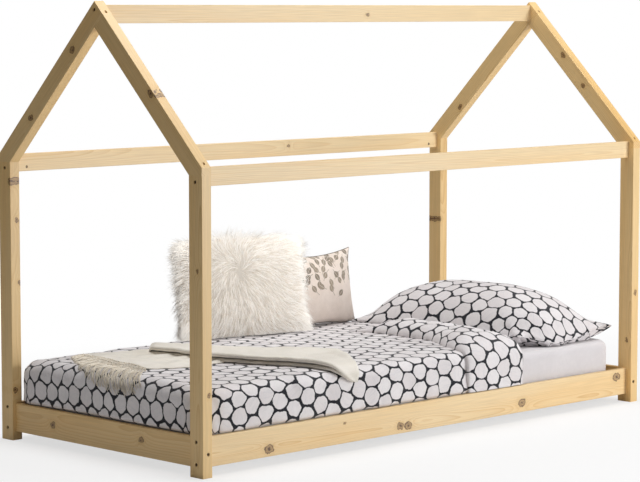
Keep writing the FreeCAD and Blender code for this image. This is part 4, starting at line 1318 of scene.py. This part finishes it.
# ---------------------------------------------------------------- throw
@dataclass
class Throw:
    """The wool throw: an open layer gathered at the foot, a folded strip over the front, and a fringe."""

    material: Material
    yarn: Material
    quilt: Duvet
    cloth: float = 0.0026
    far_edge: Route = ((0.234, 0.850), (0.340, 0.796), (0.440, 0.722))
    near_edge: Route = ((0.138, 0.408), (0.252, 0.340), (0.402, 0.350), (0.505, 0.318))
    strip_near: Route = (
        (0.366, 0.668), (0.376, 0.580), (0.386, 0.490), (0.398, 0.385), (0.446, 0.248),
        (0.522, 0.130), (0.572, 0.046), (0.604, 0.006), (0.642, -0.023),
    )
    strip_far: Route = (
        (0.446, 0.758), (0.488, 0.640), (0.510, 0.560), (0.545, 0.480), (0.612, 0.384),
        (0.706, 0.296), (0.780, 0.204), (0.734, 0.118), (0.692, 0.048), (0.652, -0.024),
    )
    open_rows: int = 46
    open_columns: int = 92
    strip_stations: int = 112
    layers: tuple[Point, ...] = (  # each layer's start and end across the strip, and its height
        (0.6, -0.93, 0.0026), (-0.93, 0.93, 0.0100), (0.93, -0.985, 0.0180), (-0.985, 0.99, 0.0295),
    )
    fringe_root: Route = ((0.236, 0.850), (0.197, 0.705), (0.168, 0.590), (0.163, 0.508), (0.138, 0.410))
    fringe_end: Route = (
        (0.165, 0.824), (0.085, 0.704), (0.020, 0.604), (-0.010, 0.532), (-0.024, 0.482),
        (-0.036, 0.415), (-0.040, 0.340), (-0.010, 0.280),
    )
    tassels: int = 36
    strands: int = 6
    knot_rows: tuple[float, float] = (0.16, 0.33)
    yarn_radius: float = 0.0014
    knot_radius: float = 0.0030
    strand_radius: float = 0.00145

    def on_quilt(self, flat: Array, height: Array) -> Array:
        """Points over the quilt; flat runs from its foot and from its front side.

        Args:
            flat: flat places, with 2 as the last size.
            height: height over the quilt.

        Returns:
            The points.
        """
        p = flat[..., 0] + self.quilt.form.foot
        q = flat[..., 1] - self.quilt.form.half_width
        points, normals = self.quilt.form.lay(p, q)
        return points + normals * (self.quilt.relief(p, q) + height)[..., None]

    def build(self) -> None:
        """Builds the throw and its fringe."""
        form = joined([self.open_layer(), self.strip()])
        throw = make_piece("throw_cloth", form, self.material, "throw")
        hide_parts("throw")
        fringe = make_piece("throw_knotted_fringe", self.fringe(), self.yarn, "throw")
        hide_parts("throw_fringe")
        log.info("throw: %d points, fringe: %d points", len(form[0]), len(fringe.data.vertices))

    def open_layer(self) -> MeshData:
        """The single layer between the fringe and the folded strip.

        Returns:
            Points, faces and flat coordinates.
        """
        s, t = (np.linspace(0, 1, count) for count in (self.open_rows, self.open_columns))
        s, t = np.meshgrid(s, t, indexing="ij")
        far, near = (along_line(edge, s[:, 0])[:, None, :] for edge in (self.far_edge, self.near_edge))
        flat = far * (1 - t[..., None]) + near * t[..., None]
        root = along_line(self.fringe_root, t[0])[None, :, :]
        flat = flat + (root - flat[:1]) * (1 - s[..., None]) ** 2
        gather = smooth_step(0.0, 0.75, s)
        phase = 2 * math.pi * (5.2 * t + 0.55 * noise_grid(s * 0.3, t, 4.0, 2.2, 3.1))
        ridge = (0.5 + 0.5 * np.sin(phase)) ** 1.6
        edge = np.minimum(1.0, np.minimum(t, 1 - t) / 0.05)
        height = 0.0026 + edge * ridge * (0.0015 + 0.0065 * gather) + 0.0012 * noise_grid(s, t, 5.0, 9.0, 8.0)
        height = np.maximum(height, 0.0024) * np.where(s > 0.93, 0.75, 1.0)
        sides = [self.on_quilt(flat, height + sign * self.cloth / 2) for sign in (-1, 1)]
        return closed_shell(*sides, pair(0.52 * t, 0.28 * s))

    def section(self) -> tuple[Array, Array]:
        """The strip's folded section: place across it, from -1 to 1, and height over the quilt.

        Returns:
            The places and the heights.
        """
        across, height = [], []
        for (start, end, level), after in zip(self.layers, (*self.layers[1:], None)):
            across += list(np.linspace(start, end, 13))
            height += [level] * 13
            if after:
                angle = np.linspace(0, math.pi, 7)[1:-1]
                across += list(end + math.copysign(0.055, end) * np.sin(angle))
                height += list(level + (after[2] - level) * (1 - np.cos(angle)) / 2)
        return np.array(across), np.array(height)

    def strip(self) -> MeshData:
        """The folded strip, four layers deep; rows run down it and columns across its section.

        Returns:
            Points, faces and flat coordinates.
        """
        t = np.linspace(0, 1, self.strip_stations)
        near, far = along_line(self.strip_near, t, 5), along_line(self.strip_far, t, 2)
        middle, half = (near + far) / 2, (far - near) / 2
        width = np.linalg.norm(half, axis=1)[:, None]
        across, level = (line[None, :] for line in self.section())
        share = (level - level.min()) / (level.max() - level.min())
        beyond = np.sign(across) * np.maximum(np.abs(across) - 0.94, 0)
        across = across - beyond + beyond * 1.4 * 0.075 / np.maximum(width, 0.02)
        wander = noise_grid(t[:, None], share * 3, 5.0, 1.0, 2.7)
        across = across + 0.035 * wander * (np.abs(across) > 0.8)
        full = (rounded(t / 0.03) * 0.7 + 0.3) * (1 - 0.45 * smooth_step(0.84, 1.0, t))
        sag = 1 - 0.16 * (1 - np.clip(np.abs(across), 0, 1) ** 3) * share
        wave = 0.0022 * noise_grid(t[:, None] * 0.76, across * width, 9.0, 14.0, 5.5) * share
        height = level.min() + (level - level.min()) * full[:, None] * sag + wave
        height = height - 0.003 * smooth_step(0.75, 1.0, across) * share ** 2 * full[:, None]
        run = across * width
        d_run, d_height = np.gradient(run, axis=1), np.gradient(height, axis=1)
        size = np.maximum(np.hypot(d_run, d_height), 1e-9)
        sides = []
        for off in (-self.cloth / 2, self.cloth / 2):
            place = (run - off * d_height / size) / np.maximum(width, 1e-6)
            flat = middle[:, None, :] + half[:, None, :] * place[..., None]
            sides.append(self.on_quilt(flat, np.maximum(height + off * d_run / size, 0.0008)))
        return closed_shell(*sides, pair(run_along(middle)[:, None], np.cumsum(size, axis=1)))

    def fringe_place(self, across: Array, down: Array) -> Array:
        """Flat places in the fringe, from shares across it and down its length."""
        root, end = along_line(self.fringe_root, across), along_line(self.fringe_end, across)
        return root + (end - root) * down[..., None]

    def fringe(self) -> MeshData:
        """A net of yarn with two rows of knots, then loose strands.

        Returns:
            Points, faces and the strands' coordinates.
        """
        rng = np.random.default_rng(5)
        base = (np.arange(self.tassels) + 0.5) / self.tassels
        base += rng.uniform(-0.15, 0.15, self.tassels) / self.tassels
        return joined([self.net(base, rng), self.fringe_knots(base, rng), self.loose_strands(base, rng)])

    def net(self, base: Array, rng: np.random.Generator) -> MeshData:
        """Strands that part from each tassel's root, meet their neighbours and come back.

        Args:
            base: each tassel's place across the fringe, as a share.
            rng: the fringe's random numbers.

        Returns:
            Points, faces and the strands' coordinates.
        """
        beside = np.clip(base[:, None] + np.array([-0.5, 0.5]) / self.tassels, 0, 1)
        own = base[:, None] + 0 * beside
        start, end = pair(own, beside).reshape(-1, 1), pair(beside, own).reshape(-1, 1)
        first, second = self.knot_rows
        high, low = (np.tile(row, own.size)[:, None] for row in ((0.0, first), (first, second)))
        steps = np.linspace(0, 1, 6)
        flat = self.fringe_place(start + (end - start) * steps, high + (low - high) * steps)
        path = self.on_quilt(flat, 0.0030 + 0.0012 * np.sin(steps * math.pi))
        return tubes(path, self.yarn_radius, 1.0, rng.uniform(0, 1, len(path)))

    def fringe_knots(self, base: Array, rng: np.random.Generator) -> MeshData:
        """A knot wherever strands of the net meet, and at each root.

        Args:
            base: each tassel's place across the fringe, as a share.
            rng: the fringe's random numbers.

        Returns:
            Points, faces and the knots' coordinates.
        """
        places = (np.clip(base + 0.5 / self.tassels, 0, 1), base, base)
        across = np.concatenate(places)
        down = np.repeat([*self.knot_rows, 0.01], self.tassels)
        flat = self.fringe_place(across, down)
        ahead = unit(self.fringe_place(across, down + 0.02) - flat)
        ball = np.linspace(-1, 1, 5)
        spots = flat[:, None, :] + ahead[:, None, :] * (0.0042 * ball)[None, :, None]
        path = self.on_quilt(spots, 0.0042)
        points, faces, cloth = tubes(path, self.knot_radius, 1.0, rng.uniform(0, 1, len(path)))
        middle = np.repeat(path, 4, axis=1).reshape(-1, 3)
        swell = np.tile(np.repeat(np.sqrt(np.maximum(1 - (ball * 0.93) ** 2, 0.02)), 4), len(path))[:, None]
        return middle + (points - middle) * swell, faces, cloth

    def loose_strands(self, base: Array, rng: np.random.Generator) -> MeshData:
        """The tassels' own strands, fanned out below the last knots.

        Args:
            base: each tassel's place across the fringe, as a share.
            rng: the fringe's random numbers.

        Returns:
            Points, faces and the strands' coordinates.
        """
        start = np.repeat(base, self.strands)[:, None]
        size = start.shape
        top = self.knot_rows[1] + 0.01
        fan = rng.normal(0, 0.42, size) / self.tassels
        reach = np.clip(0.97 + rng.normal(0, 0.05, size), 0.78, 1.04)
        curl = rng.normal(0, 0.30, size) / self.tassels
        steps = np.linspace(0, 1, 9)
        across = np.clip(start + fan * steps ** 0.7 + curl * np.sin(steps * 4.2), 0, 1)
        flat = self.fringe_place(across, top + (reach - top) * steps)
        stack = rng.uniform(0.0018, 0.0050, size)
        path = self.on_quilt(flat, stack * (1 - 0.35 * steps) + 0.0016 * np.sin(steps * math.pi))
        return tubes(path, self.strand_radius, 0.75, rng.uniform(0, 1, len(path)))


# ---------------------------------------------------------------- pillow and cushions
@dataclass
class PadForm:
    """A stuffed pad: crowned both ways, its sides drawn in between the corners."""

    width: float
    height: float
    front: float
    back: float
    draw: float = 0.013
    seam: float = 0.0025
    rows: int = 64
    columns: int = 84
    back_fill: float = 2.4
    round_off: float = 0.0
    sag: float = 0.0
    full_left: float = 2.6
    full_right: float = 2.6

    def grids(self) -> tuple[Array, Array, Array]:
        """Front points, back points and flat coordinates, with the pad upright in the XZ plane.

        Returns:
            The front, the back and the flat coordinates, each a grid.
        """
        s, t = (np.sin(np.linspace(-1, 1, count) * QUARTER) for count in (self.columns, self.rows))
        t, s = np.meshgrid(t, s, indexing="ij")
        x = s * (self.width / 2 - self.draw * (1 - t * t)) * (1 - self.round_off * s ** 2 * t ** 6)
        z = t * (self.height / 2 - self.draw * (1 - s * s)) * (1 - self.round_off * t ** 2 * s ** 6)
        sideways = 1 - np.abs(s) ** np.where(s < 0, self.full_left, self.full_right)
        fullness = np.clip(sideways, 0, 1) ** 0.72 * np.clip(1 - np.abs(t) ** 2.2, 0, 1) ** 0.75
        belly = np.clip((1 - np.abs(s) ** self.back_fill) * (1 - np.abs(t) ** self.back_fill), 0, 1) ** 0.7
        droop = self.sag * ((1 - t * t) * np.abs(s) ** 5 + (1 - s * s) * np.abs(t) ** 5)
        front = np.stack([x, droop - self.seam - (self.front - self.seam) * fullness, z], axis=-1)
        back = np.stack([x, droop + self.seam + (self.back - self.seam) * belly, z], axis=-1)
        return front, back, pair(self.run_from_middle(front, 1), self.run_from_middle(front, 0))

    def run_from_middle(self, points: Array, axis: int) -> Array:
        """Length of the cloth from the pad's middle line, along one way of the grid.

        Args:
            points: a grid of points.
            axis: 0 goes up the pad, 1 across it.

        Returns:
            The length at each point.
        """
        first = np.take(points, [0], axis=axis)
        run = np.cumsum(np.linalg.norm(np.diff(points, axis=axis, prepend=first), axis=2), axis=axis)
        middle = points.shape[axis] // 2
        return run - np.take(run, [middle - 1, middle], axis=axis).mean(axis=axis, keepdims=True)


@dataclass
class Pillow:
    """The sleeping pillow, laid flat across the head end, one corner pulled in."""

    material: Material
    form: PadForm = field(default_factory=lambda: PadForm(
        width=0.790, height=0.470, front=0.137, back=0.046, draw=0.015, seam=0.003, rows=66, columns=104,
        back_fill=5.0, sag=0.040, full_left=3.0, full_right=4.2,
    ))
    place: Point = (0.712, -0.028, 0.2690)
    turn: float = 95.0
    rest: float = 0.2236
    pulled_corner: tuple[float, float] = (-0.395, 0.235)

    def shape(self) -> MeshData:
        """The pillow upright, with its puckered edge; the two faces share their rim.

        Returns:
            Points, faces and flat coordinates.
        """
        front, back, flat = self.form.grids()
        rows, columns = front.shape[:2]
        u, v = flat[..., 0], flat[..., 1]
        near_edge = np.maximum(np.abs(u) / np.abs(u).max(), np.abs(v) / np.abs(v).max())
        inside = near_edge < 0.999
        pucker = inside * 0.0035 * smooth_step(0.72, 0.97, near_edge) * noise_grid(u, v, 34.0, 34.0, 5.5)
        slack = inside * 0.003 * noise_grid(u, v, 7.0, 7.0, 8.5)
        off = (u - self.pulled_corner[0]) ** 2 + (v - self.pulled_corner[1]) ** 2
        gather = np.exp(-off / 0.11 ** 2)
        crumple = 0.004 * noise_grid(u, v, 55.0, 20.0, 3.1)
        for side in (front, back):
            side += gather[..., None] * np.stack([0.085 + 0 * u, crumple, -0.045 + 0 * u], axis=-1)
        front[..., 1] -= pucker + slack
        back[..., 1] += pucker
        rim = rim_of(rows, columns)
        own = np.ones(rows * columns, bool)
        own[rim] = False
        numbers = np.arange(rows * columns)
        numbers[own] = rows * columns + np.arange(own.sum())
        flat_front, flat_back = front.reshape(-1, 3), back.reshape(-1, 3)
        flat_front[rim, 1] = (flat_front[rim, 1] + flat_back[rim, 1]) / 2
        cloth = flat.reshape(-1, 2)
        faces = grid_faces(rows, columns) + numbers[grid_faces(rows, columns, flip=True)].tolist()
        return np.concatenate([flat_front, flat_back[own]]), faces, np.concatenate([cloth, cloth[own] + 0.02])

    def build(self) -> None:
        """Builds, settles and places the pillow."""
        piece = make_piece("pillow_case", self.shape(), self.material, "pillow")
        settle(piece, 14, 1.2, 0.035, 0.010)
        x, y, z = read_points(piece.data).T
        lying = turned(np.stack([x, z, -y], axis=-1), 0.0, self.turn) + self.place
        low = lying[:, 2] < self.rest + 0.006
        lying[low, 2] = self.rest + (lying[low, 2] - self.rest - 0.006) * 0.02 + 0.0008
        lying[:, 2] = np.maximum(lying[:, 2], self.rest)
        write_points(piece.data, lying)
        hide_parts("pillow")
        rim = rim_of(self.form.rows, self.form.columns)
        piping("pillow_piping", lying[rim], 0.0022, self.material, "pillow")
        log.info("pillow: %d points", len(lying))


def duvet_height(points: Array, level: float) -> Array:
    """Height of the duvet's crowned top under points, from its level at the shoulders."""
    half = QUILT.half_width - QUILT.shoulder
    return level + QUILT.crown * (1 - np.clip(np.abs(points[:, 1]) / half, 0, 1) ** 2)


@dataclass
class LeafCushion:
    """The beige cushion with the leaf print."""

    material: Material
    edge_material: Material
    form: PadForm = field(default_factory=lambda: PadForm(
        width=0.356, height=0.276, front=0.045, back=0.045, draw=0.016, seam=0.002, rows=46, columns=54,
    ))
    foot: Point = (0.289, 0.359, 0.2502)
    lean: float = 8.0
    floor: float = 0.2632

    def build(self) -> None:
        """Builds, settles and places the cushion."""
        front, back, flat = self.form.grids()
        crease = 0.0022 * noise_grid(flat[..., 0], flat[..., 1], 12.0, 16.0, 3.3, 3)
        front[..., 1] -= crease
        back[..., 1] += crease
        shell = closed_shell(front, back, flat)
        piece = make_piece("leaf_cushion_cover", shell, self.material, "leaf_cushion")
        settle(piece, 12, 1.0, 0.02, 0.006)
        moved = read_points(piece.data)
        moved[:, 2] += self.form.height / 2 + 0.002
        standing = turned(moved, self.lean, 0.0) + self.foot
        standing[:, 2] = np.maximum(standing[:, 2], duvet_height(standing, self.floor))
        write_points(piece.data, standing)
        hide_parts("leaf_cushion")
        rim = np.array(rim_of(self.form.rows, self.form.columns))
        seam = (standing[rim] + standing[rim + flat[..., 0].size]) / 2
        piping("leaf_cushion_piping", seam, 0.0024, self.edge_material, "leaf_cushion")
        log.info("leaf cushion: %d points", len(standing))


@dataclass
class FurCushion:
    """The cushion with long white pile, combed out from a whorl above its middle."""

    skin: Material
    pile: Material
    form: PadForm = field(default_factory=lambda: PadForm(
        width=0.470, height=0.340, front=0.052, back=0.052, draw=0.003, seam=0.012, rows=40, columns=54,
        back_fill=3.2, round_off=0.08,
    ))
    foot: Point = (-0.120, 0.314, 0.2502)
    lean: float = 11.0
    turn: float = -14.0
    floor: float = 0.2640
    strands: int = 20000
    length: float = 0.042
    steps: int = 4
    lock_size: float = 0.014
    whorl: tuple[float, float] = (-0.02, 0.055)
    back_limit: float = 0.4445  # the pile stays inside the back rail

    def stand(self, points: Array) -> Array:
        """Points of the upright cushion, stood in its place."""
        return turned(points, self.lean, self.turn) + self.foot

    def build(self) -> None:
        """Builds the pad, then its pile strand by strand."""
        front, back, flat = self.form.grids()
        for grid in (front, back):
            grid[..., 0] *= 1 + 0.07 * smooth_step(-0.06, -0.17, grid[..., 2])
            grid[..., 2] += self.form.height / 2 + 0.012
        points, faces, cloth = closed_shell(front, back, flat)
        standing = self.stand(points)
        standing[:, 2] = np.maximum(standing[:, 2], duvet_height(standing, self.floor))
        pad = make_piece("fur_cushion_pad", (standing, faces, cloth), self.skin, "fur_cushion")
        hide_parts("fur_cushion")
        self.build_pile(front, back)
        log.info("fur cushion: %d strands", self.strands)

    def roots(self, grid: Array, side: int, rng: np.random.Generator) -> tuple[Array, Array]:
        """Random points on one side of the pad, and its normals there.

        Args:
            grid: the side's points.
            side: -1 for the front, 1 for the back.
            rng: the pile's random numbers.

        Returns:
            The points and the normals.
        """
        rows, columns = grid.shape[:2]
        i = rng.uniform(0, rows - 1.001, self.strands // 2)
        j = rng.uniform(0, columns - 1.001, self.strands // 2)
        i0, j0 = i.astype(int), j.astype(int)
        fi, fj = (i - i0)[:, None], (j - j0)[:, None]
        here, right, up = grid[i0, j0], grid[i0, j0 + 1], grid[i0 + 1, j0]
        left_edge = here * (1 - fi) + up * fi
        right_edge = right * (1 - fi) + grid[i0 + 1, j0 + 1] * fi
        normal = unit(np.cross(up - here, right - here) * side)
        normal[:, 1] = np.where(np.abs(normal[:, 1]) < 1e-6, side, normal[:, 1])
        return left_edge * (1 - fj) + right_edge * fj, normal

    def combed(self, root: Array, normal: Array) -> Array:
        """Which way the pile lies at each root: out from the whorl, swirling, and down.

        Args:
            root: each strand's root.
            normal: the pad's normal there.

        Returns:
            A unit vector for each root.
        """
        x, _, z = (root - (self.whorl[0], 0.0, self.form.height / 2 + 0.012 + self.whorl[1])).T
        away = unit(np.stack([x, 0 * x, z], axis=-1), 1e-6)
        swirl = np.array([fractal(r[0] * 9, r[1] * 9 + 4, r[2] * 9) for r in root])
        sideways = np.stack([-away[:, 2], 0 * x, away[:, 0]], axis=-1)
        comb = away + sideways * (0.9 * swirl)[:, None] + (0, 0, -0.35)
        comb[:, 0] += np.sign(root[:, 0]) * 0.8 * smooth_step(0.12, 0.02, root[:, 2])
        return unit(comb - normal * np.sum(comb * normal, axis=1, keepdims=True), 1e-6)

    def build_pile(self, front: Array, back: Array) -> None:
        """Grows the strands: flat blades that bend over, in locks that lean together.

        Args:
            front: the pad's front points.
            back: its back points.
        """
        rng = np.random.default_rng(11)
        halves = [self.roots(grid, side, rng) for grid, side in ((front, -1), (back, 1))]
        root, normal = (np.concatenate(part) for part in zip(*halves))
        comb = self.combed(root, normal)
        total = len(root)
        lock = np.round(root / self.lock_size) @ (12.9898, 78.233, 37.719)
        lock = np.abs(np.sin(lock) * 43758.5453) % 1.0
        jitter = 0.16 * np.stack([np.sin(lock * 61), np.cos(lock * 97), np.sin(lock * 41)], axis=-1)
        length = self.length * (0.7 + 0.45 * lock + 0.18 * rng.uniform(-1, 1, total))[:, None]
        spread = rng.normal(0, 0.15, root.shape)
        wide = unit(np.cross(normal, comb), 1e-6)
        points, cloth = [], []
        for t in np.linspace(0, 1, self.steps):
            rise = normal * length * (0.60 * t - 0.30 * t * t)
            run = (comb + jitter * t + spread) * length * (0.42 * t + 0.52 * t * t)
            half = wide * (0.00080 * (1 - 0.85 * t))
            points += [root + rise + run - half, root + rise + run + half]
            cloth += [pair(lock, t)] * 2
        ids = np.arange(2 * self.steps * total).reshape(self.steps, 2, total)
        quads = np.stack([ids[:-1, 0], ids[1:, 0], ids[1:, 1], ids[:-1, 1]], axis=-1)
        standing = self.stand(np.concatenate(points))
        standing[:, 2] = np.maximum(standing[:, 2], duvet_height(standing, self.floor) + 0.0005)
        standing[:, 1] = np.minimum(standing[:, 1], self.back_limit)
        form = standing, quads.reshape(-1, 4).tolist(), np.concatenate(cloth)
        piece = make_piece("fur_cushion_pile", form, self.pile, "fur_cushion")
        bend = turned(normal, self.lean, self.turn) + 0.45 * rng.normal(0, 1, (total, 3)) + (-0.1, 0.0, 0.5)
        normals = np.tile(unit(bend), (2 * self.steps, 1))
        piece.data.normals_split_custom_set_from_vertices(normals.tolist())
        piece.visible_shadow = False


# ---------------------------------------------------------------- mattress and sheet
@dataclass
class Mattress:
    """The foam mattress in its knitted cover, and the fitted sheet stretched over it."""

    cover: Material
    sheet_cloth: Material
    foot: float = -0.998
    head: float = 0.963
    half_width: float = 0.445
    bottom: float = 0.0655
    sheet_hem: float = 0.0875
    top: float = 0.2227
    corner: float = 0.0733
    edge: float = 0.0272
    inner_ring: float = 0.045  # rings further in than this are scaled from it
    corner_points: int = 14
    side_points: int = 60
    end_points: int = 30

    def ring(self, inset: float) -> Array:
        """Plan outline, inset from the sheet's outside.

        Args:
            inset: how far inside the sheet's outside it runs.

        Returns:
            Its points, one row each.
        """
        radius = max(self.corner - inset, 0.004)
        ends = ((self.head, 1), (self.foot, 1), (self.foot, -1), (self.head, -1))
        side = self.half_width - self.corner
        centres = np.array([(x - math.copysign(self.corner, x), y * side) for x, y in ends])
        outline = []
        for number, centre in enumerate(centres):
            angle = QUARTER * (number + np.linspace(0, 1, self.corner_points))[:, None]
            arc = centre + radius * np.concatenate([np.cos(angle), np.sin(angle)], axis=1)
            straight = centres[(number + 1) % 4] - centre
            pieces = self.side_points if abs(straight[0]) > 0.5 else self.end_points
            outline += [arc, arc[-1] + straight * np.arange(1, pieces)[:, None] / pieces]
        return np.concatenate(outline)

    def profile(self, top: float, low: float, tuck: float) -> list[Point]:
        """The skin's section from its lower edge up: depth in from the side, height, and cloth run.

        Args:
            top: height of the skin's top.
            low: height of its lower edge.
            tuck: how far that edge turns in.

        Returns:
            One row for each ring.
        """
        rows = [(tuck, low, 0.0), (0.0, low + 0.006, 0.01)]
        rows += [(0.0, low + (top - self.edge - low) * k / 5, 0.02 + 0.02 * k) for k in range(1, 6)]
        for k in range(1, 7):
            c, s = math.cos(QUARTER * k / 6), math.sin(QUARTER * k / 6)
            rows.append((self.edge * (1 - c), top - self.edge * (1 - s), 0.12 + 0.007 * k))
        return rows + [(self.edge + d, top, 0.16 + d) for d in (0.02, 0.05, 0.10, 0.18, 0.28, 0.40)]

    def skin(self, inset: float, low: float, wrinkle: float, tuck: float) -> MeshData:
        """Closed-top skin over the foam, open below.

        Args:
            inset: how far inside the sheet's outside it lies.
            low: height of its lower edge.
            wrinkle: depth of its creases.
            tuck: how far the lower edge turns in.

        Returns:
            Points, faces and flat coordinates.
        """
        top = self.top - inset
        profile = self.profile(top, low, tuck)
        points, cloth = [], []
        for depth, z, run in profile:
            outline = self.ring(inset + min(depth, self.inner_ring))
            if depth > self.inner_ring:
                lost = (depth - self.inner_ring) / (self.half_width - 0.04)
                outline = outline * (1 - lost * self.half_width / 0.97, 1 - lost)
            along = run_along(outline)
            hang = max(0.0, 1 - abs(z - (low + top) / 2) / ((top - low) / 2))
            on_top = z >= top - 1e-6
            for (x, y), a in zip(outline, along):
                crease = wrinkle * hang * fractal(a * 26, z * 5, 1.3)
                scale = 1 - max(0.0, crease + wrinkle * 0.3) / math.hypot(x, y)
                dent = wrinkle * 0.5 * on_top * abs(fractal(x * 5, y * 5, 2.0))
                points.append((x * scale, y * scale, z - dent))
                cloth.append((a, run))
        ids = np.arange(len(points)).reshape(len(profile), -1)
        return np.array(points), [*band_faces(ids), ids[-1].tolist()], np.array(cloth)

    def build(self) -> None:
        """Builds the mattress and the sheet."""
        points, faces, cloth = self.skin(0.0013, self.bottom, 0.0, 0.012)
        faces.append(list(range(len(self.ring(0.0))))[::-1])
        foam = make_piece("mattress_core", (points, faces, cloth), self.cover, "mattress")
        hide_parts("mattress")
        skin = self.skin(0.0, self.sheet_hem, 0.0016, 0.010)
        sheet = make_piece("fitted_sheet_cloth", skin, self.sheet_cloth, "mattress")
        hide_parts("fitted_sheet")
        log.info("mattress and sheet built")


# ---------------------------------------------------------------- studio
@dataclass
class Studio:
    """Floor, soft lights and the camera."""

    camera_at: Point = (-5.7911, -5.8111, 1.3915)
    yaw: float = 44.566
    pitch: float = 5.447
    lens: float = 136.77
    floor_rings: tuple[float, ...] = (1.5, 4.0, 14.0)

    def build(self) -> None:
        """Builds the studio."""
        self.build_camera()
        self.build_floor()
        self.build_world()
        self.area("key_light", (3.4, -5.2, 1.25), (0.0, 0.0, 0.5), 2.8, 228.0)
        self.area("fill_light", (-4.6, -1.4, 2.4), (-0.2, 0.0, 0.5), 2.6, 4.0, (1.0, 0.93, 0.84))
        self.area("top_light", (0.3, 0.2, 4.2), (0.0, 0.0, 0.0), 3.2, 156.0)
        log.info("studio built")

    def build_camera(self) -> None:
        """The camera, where the one that fits the photo's timbers stood."""
        data = bpy.data.cameras.new("camera")
        data.lens = self.lens
        data.sensor_width = 36.0
        data.clip_end = 60.0
        camera = bpy.data.objects.new("camera", data)
        camera.location = self.camera_at
        camera.rotation_euler = (math.radians(90 - self.pitch), 0.0, math.radians(-self.yaw))
        bpy.context.scene.collection.objects.link(camera)
        bpy.context.scene.camera = camera

    def area(
        self, name: str, at: Point, to: Point, size: float, power: float, colour: Colour = (1, 1, 1),
    ) -> None:
        """One soft lamp.

        Args:
            name: its name.
            at: where it stands.
            to: what it points at.
            size: side of its square face.
            power: in watts.
            colour: of its light.
        """
        data = bpy.data.lights.new(name, "AREA")
        data.shape = "SQUARE"
        data.size = size
        data.energy = power
        data.color = colour
        lamp = bpy.data.objects.new(name, data)
        lamp.location = at
        lamp.rotation_euler = (Vector(to) - Vector(at)).to_track_quat("-Z", "Y").to_euler()
        bpy.context.scene.collection.objects.link(lamp)

    def build_floor(self) -> None:
        """A pale floor that keeps the shadow and fades to white away from the bed."""
        angles = np.linspace(0, 2 * math.pi, 65)[:-1]
        points = [(r * math.cos(a), r * math.sin(a), 0.0) for r in self.floor_rings for a in angles]
        ids = np.arange(len(points)).reshape(-1, len(angles))
        mesh = bpy.data.meshes.new("floor")
        mesh.from_pydata(points, [], [ids[0].tolist(), *band_faces(ids[::-1])])
        floor = bpy.data.objects.new("floor", mesh)
        bpy.context.scene.collection.objects.link(floor)
        mesh.materials.append(self.floor_material())

    def floor_material(self) -> Material:
        """Pale grey that the camera sees turn to plain white away from the bed.

        Returns:
            The material.
        """
        material, g, shader = new_material("pale_floor", Roughness=0.95, Specular_IOR_Level=0.1)
        place = g.add("ShaderNodeTexCoord").outputs["Object"]
        speck = g.noise(place, 30.0, 2.0)
        g.plug(shader["Base Color"], g.mix(speck, (0.90, 0.90, 0.90), (0.93, 0.93, 0.93)))
        fade = g.ramp(g.vector("LENGTH", g.stretched(place, (0.75, 1.0, 0.0))), 0.9, 2.2, 0.66, 1.0)
        white = g.add("ShaderNodeEmission")
        white.inputs["Strength"].default_value = 1.0
        blend = g.add("ShaderNodeMixShader")
        g.plug(blend.inputs[0], g.times(g.add("ShaderNodeLightPath").outputs["Is Camera Ray"], fade))
        g.plug(blend.inputs[1], material.node_tree.nodes["Principled BSDF"].outputs[0])
        g.plug(blend.inputs[2], white.outputs[0])
        g.plug(material.node_tree.nodes["Material Output"].inputs["Surface"], blend.outputs[0])
        material.cycles.emission_sampling = "NONE"
        return material

    def build_world(self) -> None:
        """White behind the bed, and a softer level of light from all round."""
        world = bpy.data.worlds.new("studio")
        bpy.context.scene.world = world
        world.use_nodes = True
        g = Graph(world.node_tree)
        ground = world.node_tree.nodes["Background"].inputs
        rays = g.add("ShaderNodeLightPath").outputs
        seen = g.math("MAXIMUM", rays["Is Camera Ray"], rays["Is Transmission Ray"])
        ground["Color"].default_value = (1, 1, 1, 1)
        g.plug(ground["Strength"], g.ramp(seen, 0.0, 1.0, 0.11, 1.0))
        bpy.context.scene.view_settings.view_transform = "Standard"


# ---------------------------------------------------------------- main
def main() -> None:
    """Builds the whole scene, piece by piece."""
    logging.basicConfig(level=logging.INFO, format="%(name)s: %(message)s")
    effects = Effects()
    TimberFrame(effects).build()
    Fasteners(effects).build()
    finishes = {
        "white_jersey": ClothFinish((0.72, 0.69, 0.705), (0.69, 0.66, 0.675), threads=1700.0),
        "foam_cover": ClothFinish((0.80, 0.80, 0.78), (0.74, 0.74, 0.72), threads=700.0),
        "honeycomb_cotton": HoneycombFinish((0.81, 0.78, 0.79), (0.75, 0.71, 0.72)),
        "leaf_cotton": LeafFinish((0.91, 0.805, 0.725), (0.86, 0.75, 0.665)),
        "leaf_piping": ClothFinish((0.26, 0.22, 0.19), (0.22, 0.19, 0.16)),
        "pile_backing": ClothFinish((0.76, 0.71, 0.64), (0.72, 0.67, 0.60)),
        "cream_wool": ClothFinish(
            (0.90, 0.85, 0.77), (0.84, 0.79, 0.70), sheen=0.5, threads=420.0, relief=0.0012,
        ),
    }
    cloths = {name: finish.material(effects, name) for name, finish in finishes.items()}
    honeycomb = cloths["honeycomb_cotton"]
    Mattress(cloths["foam_cover"], cloths["white_jersey"]).build()
    duvet = Duvet(honeycomb)
    duvet.build()
    Throw(cloths["cream_wool"], YarnFinish().material("cream_yarn"), duvet).build()
    Pillow(honeycomb).build()
    LeafCushion(cloths["leaf_cotton"], cloths["leaf_piping"]).build()
    FurCushion(cloths["pile_backing"], PileFinish().material("long_pile")).build()
    Studio().build()


if __name__ == "__main__":
    main()
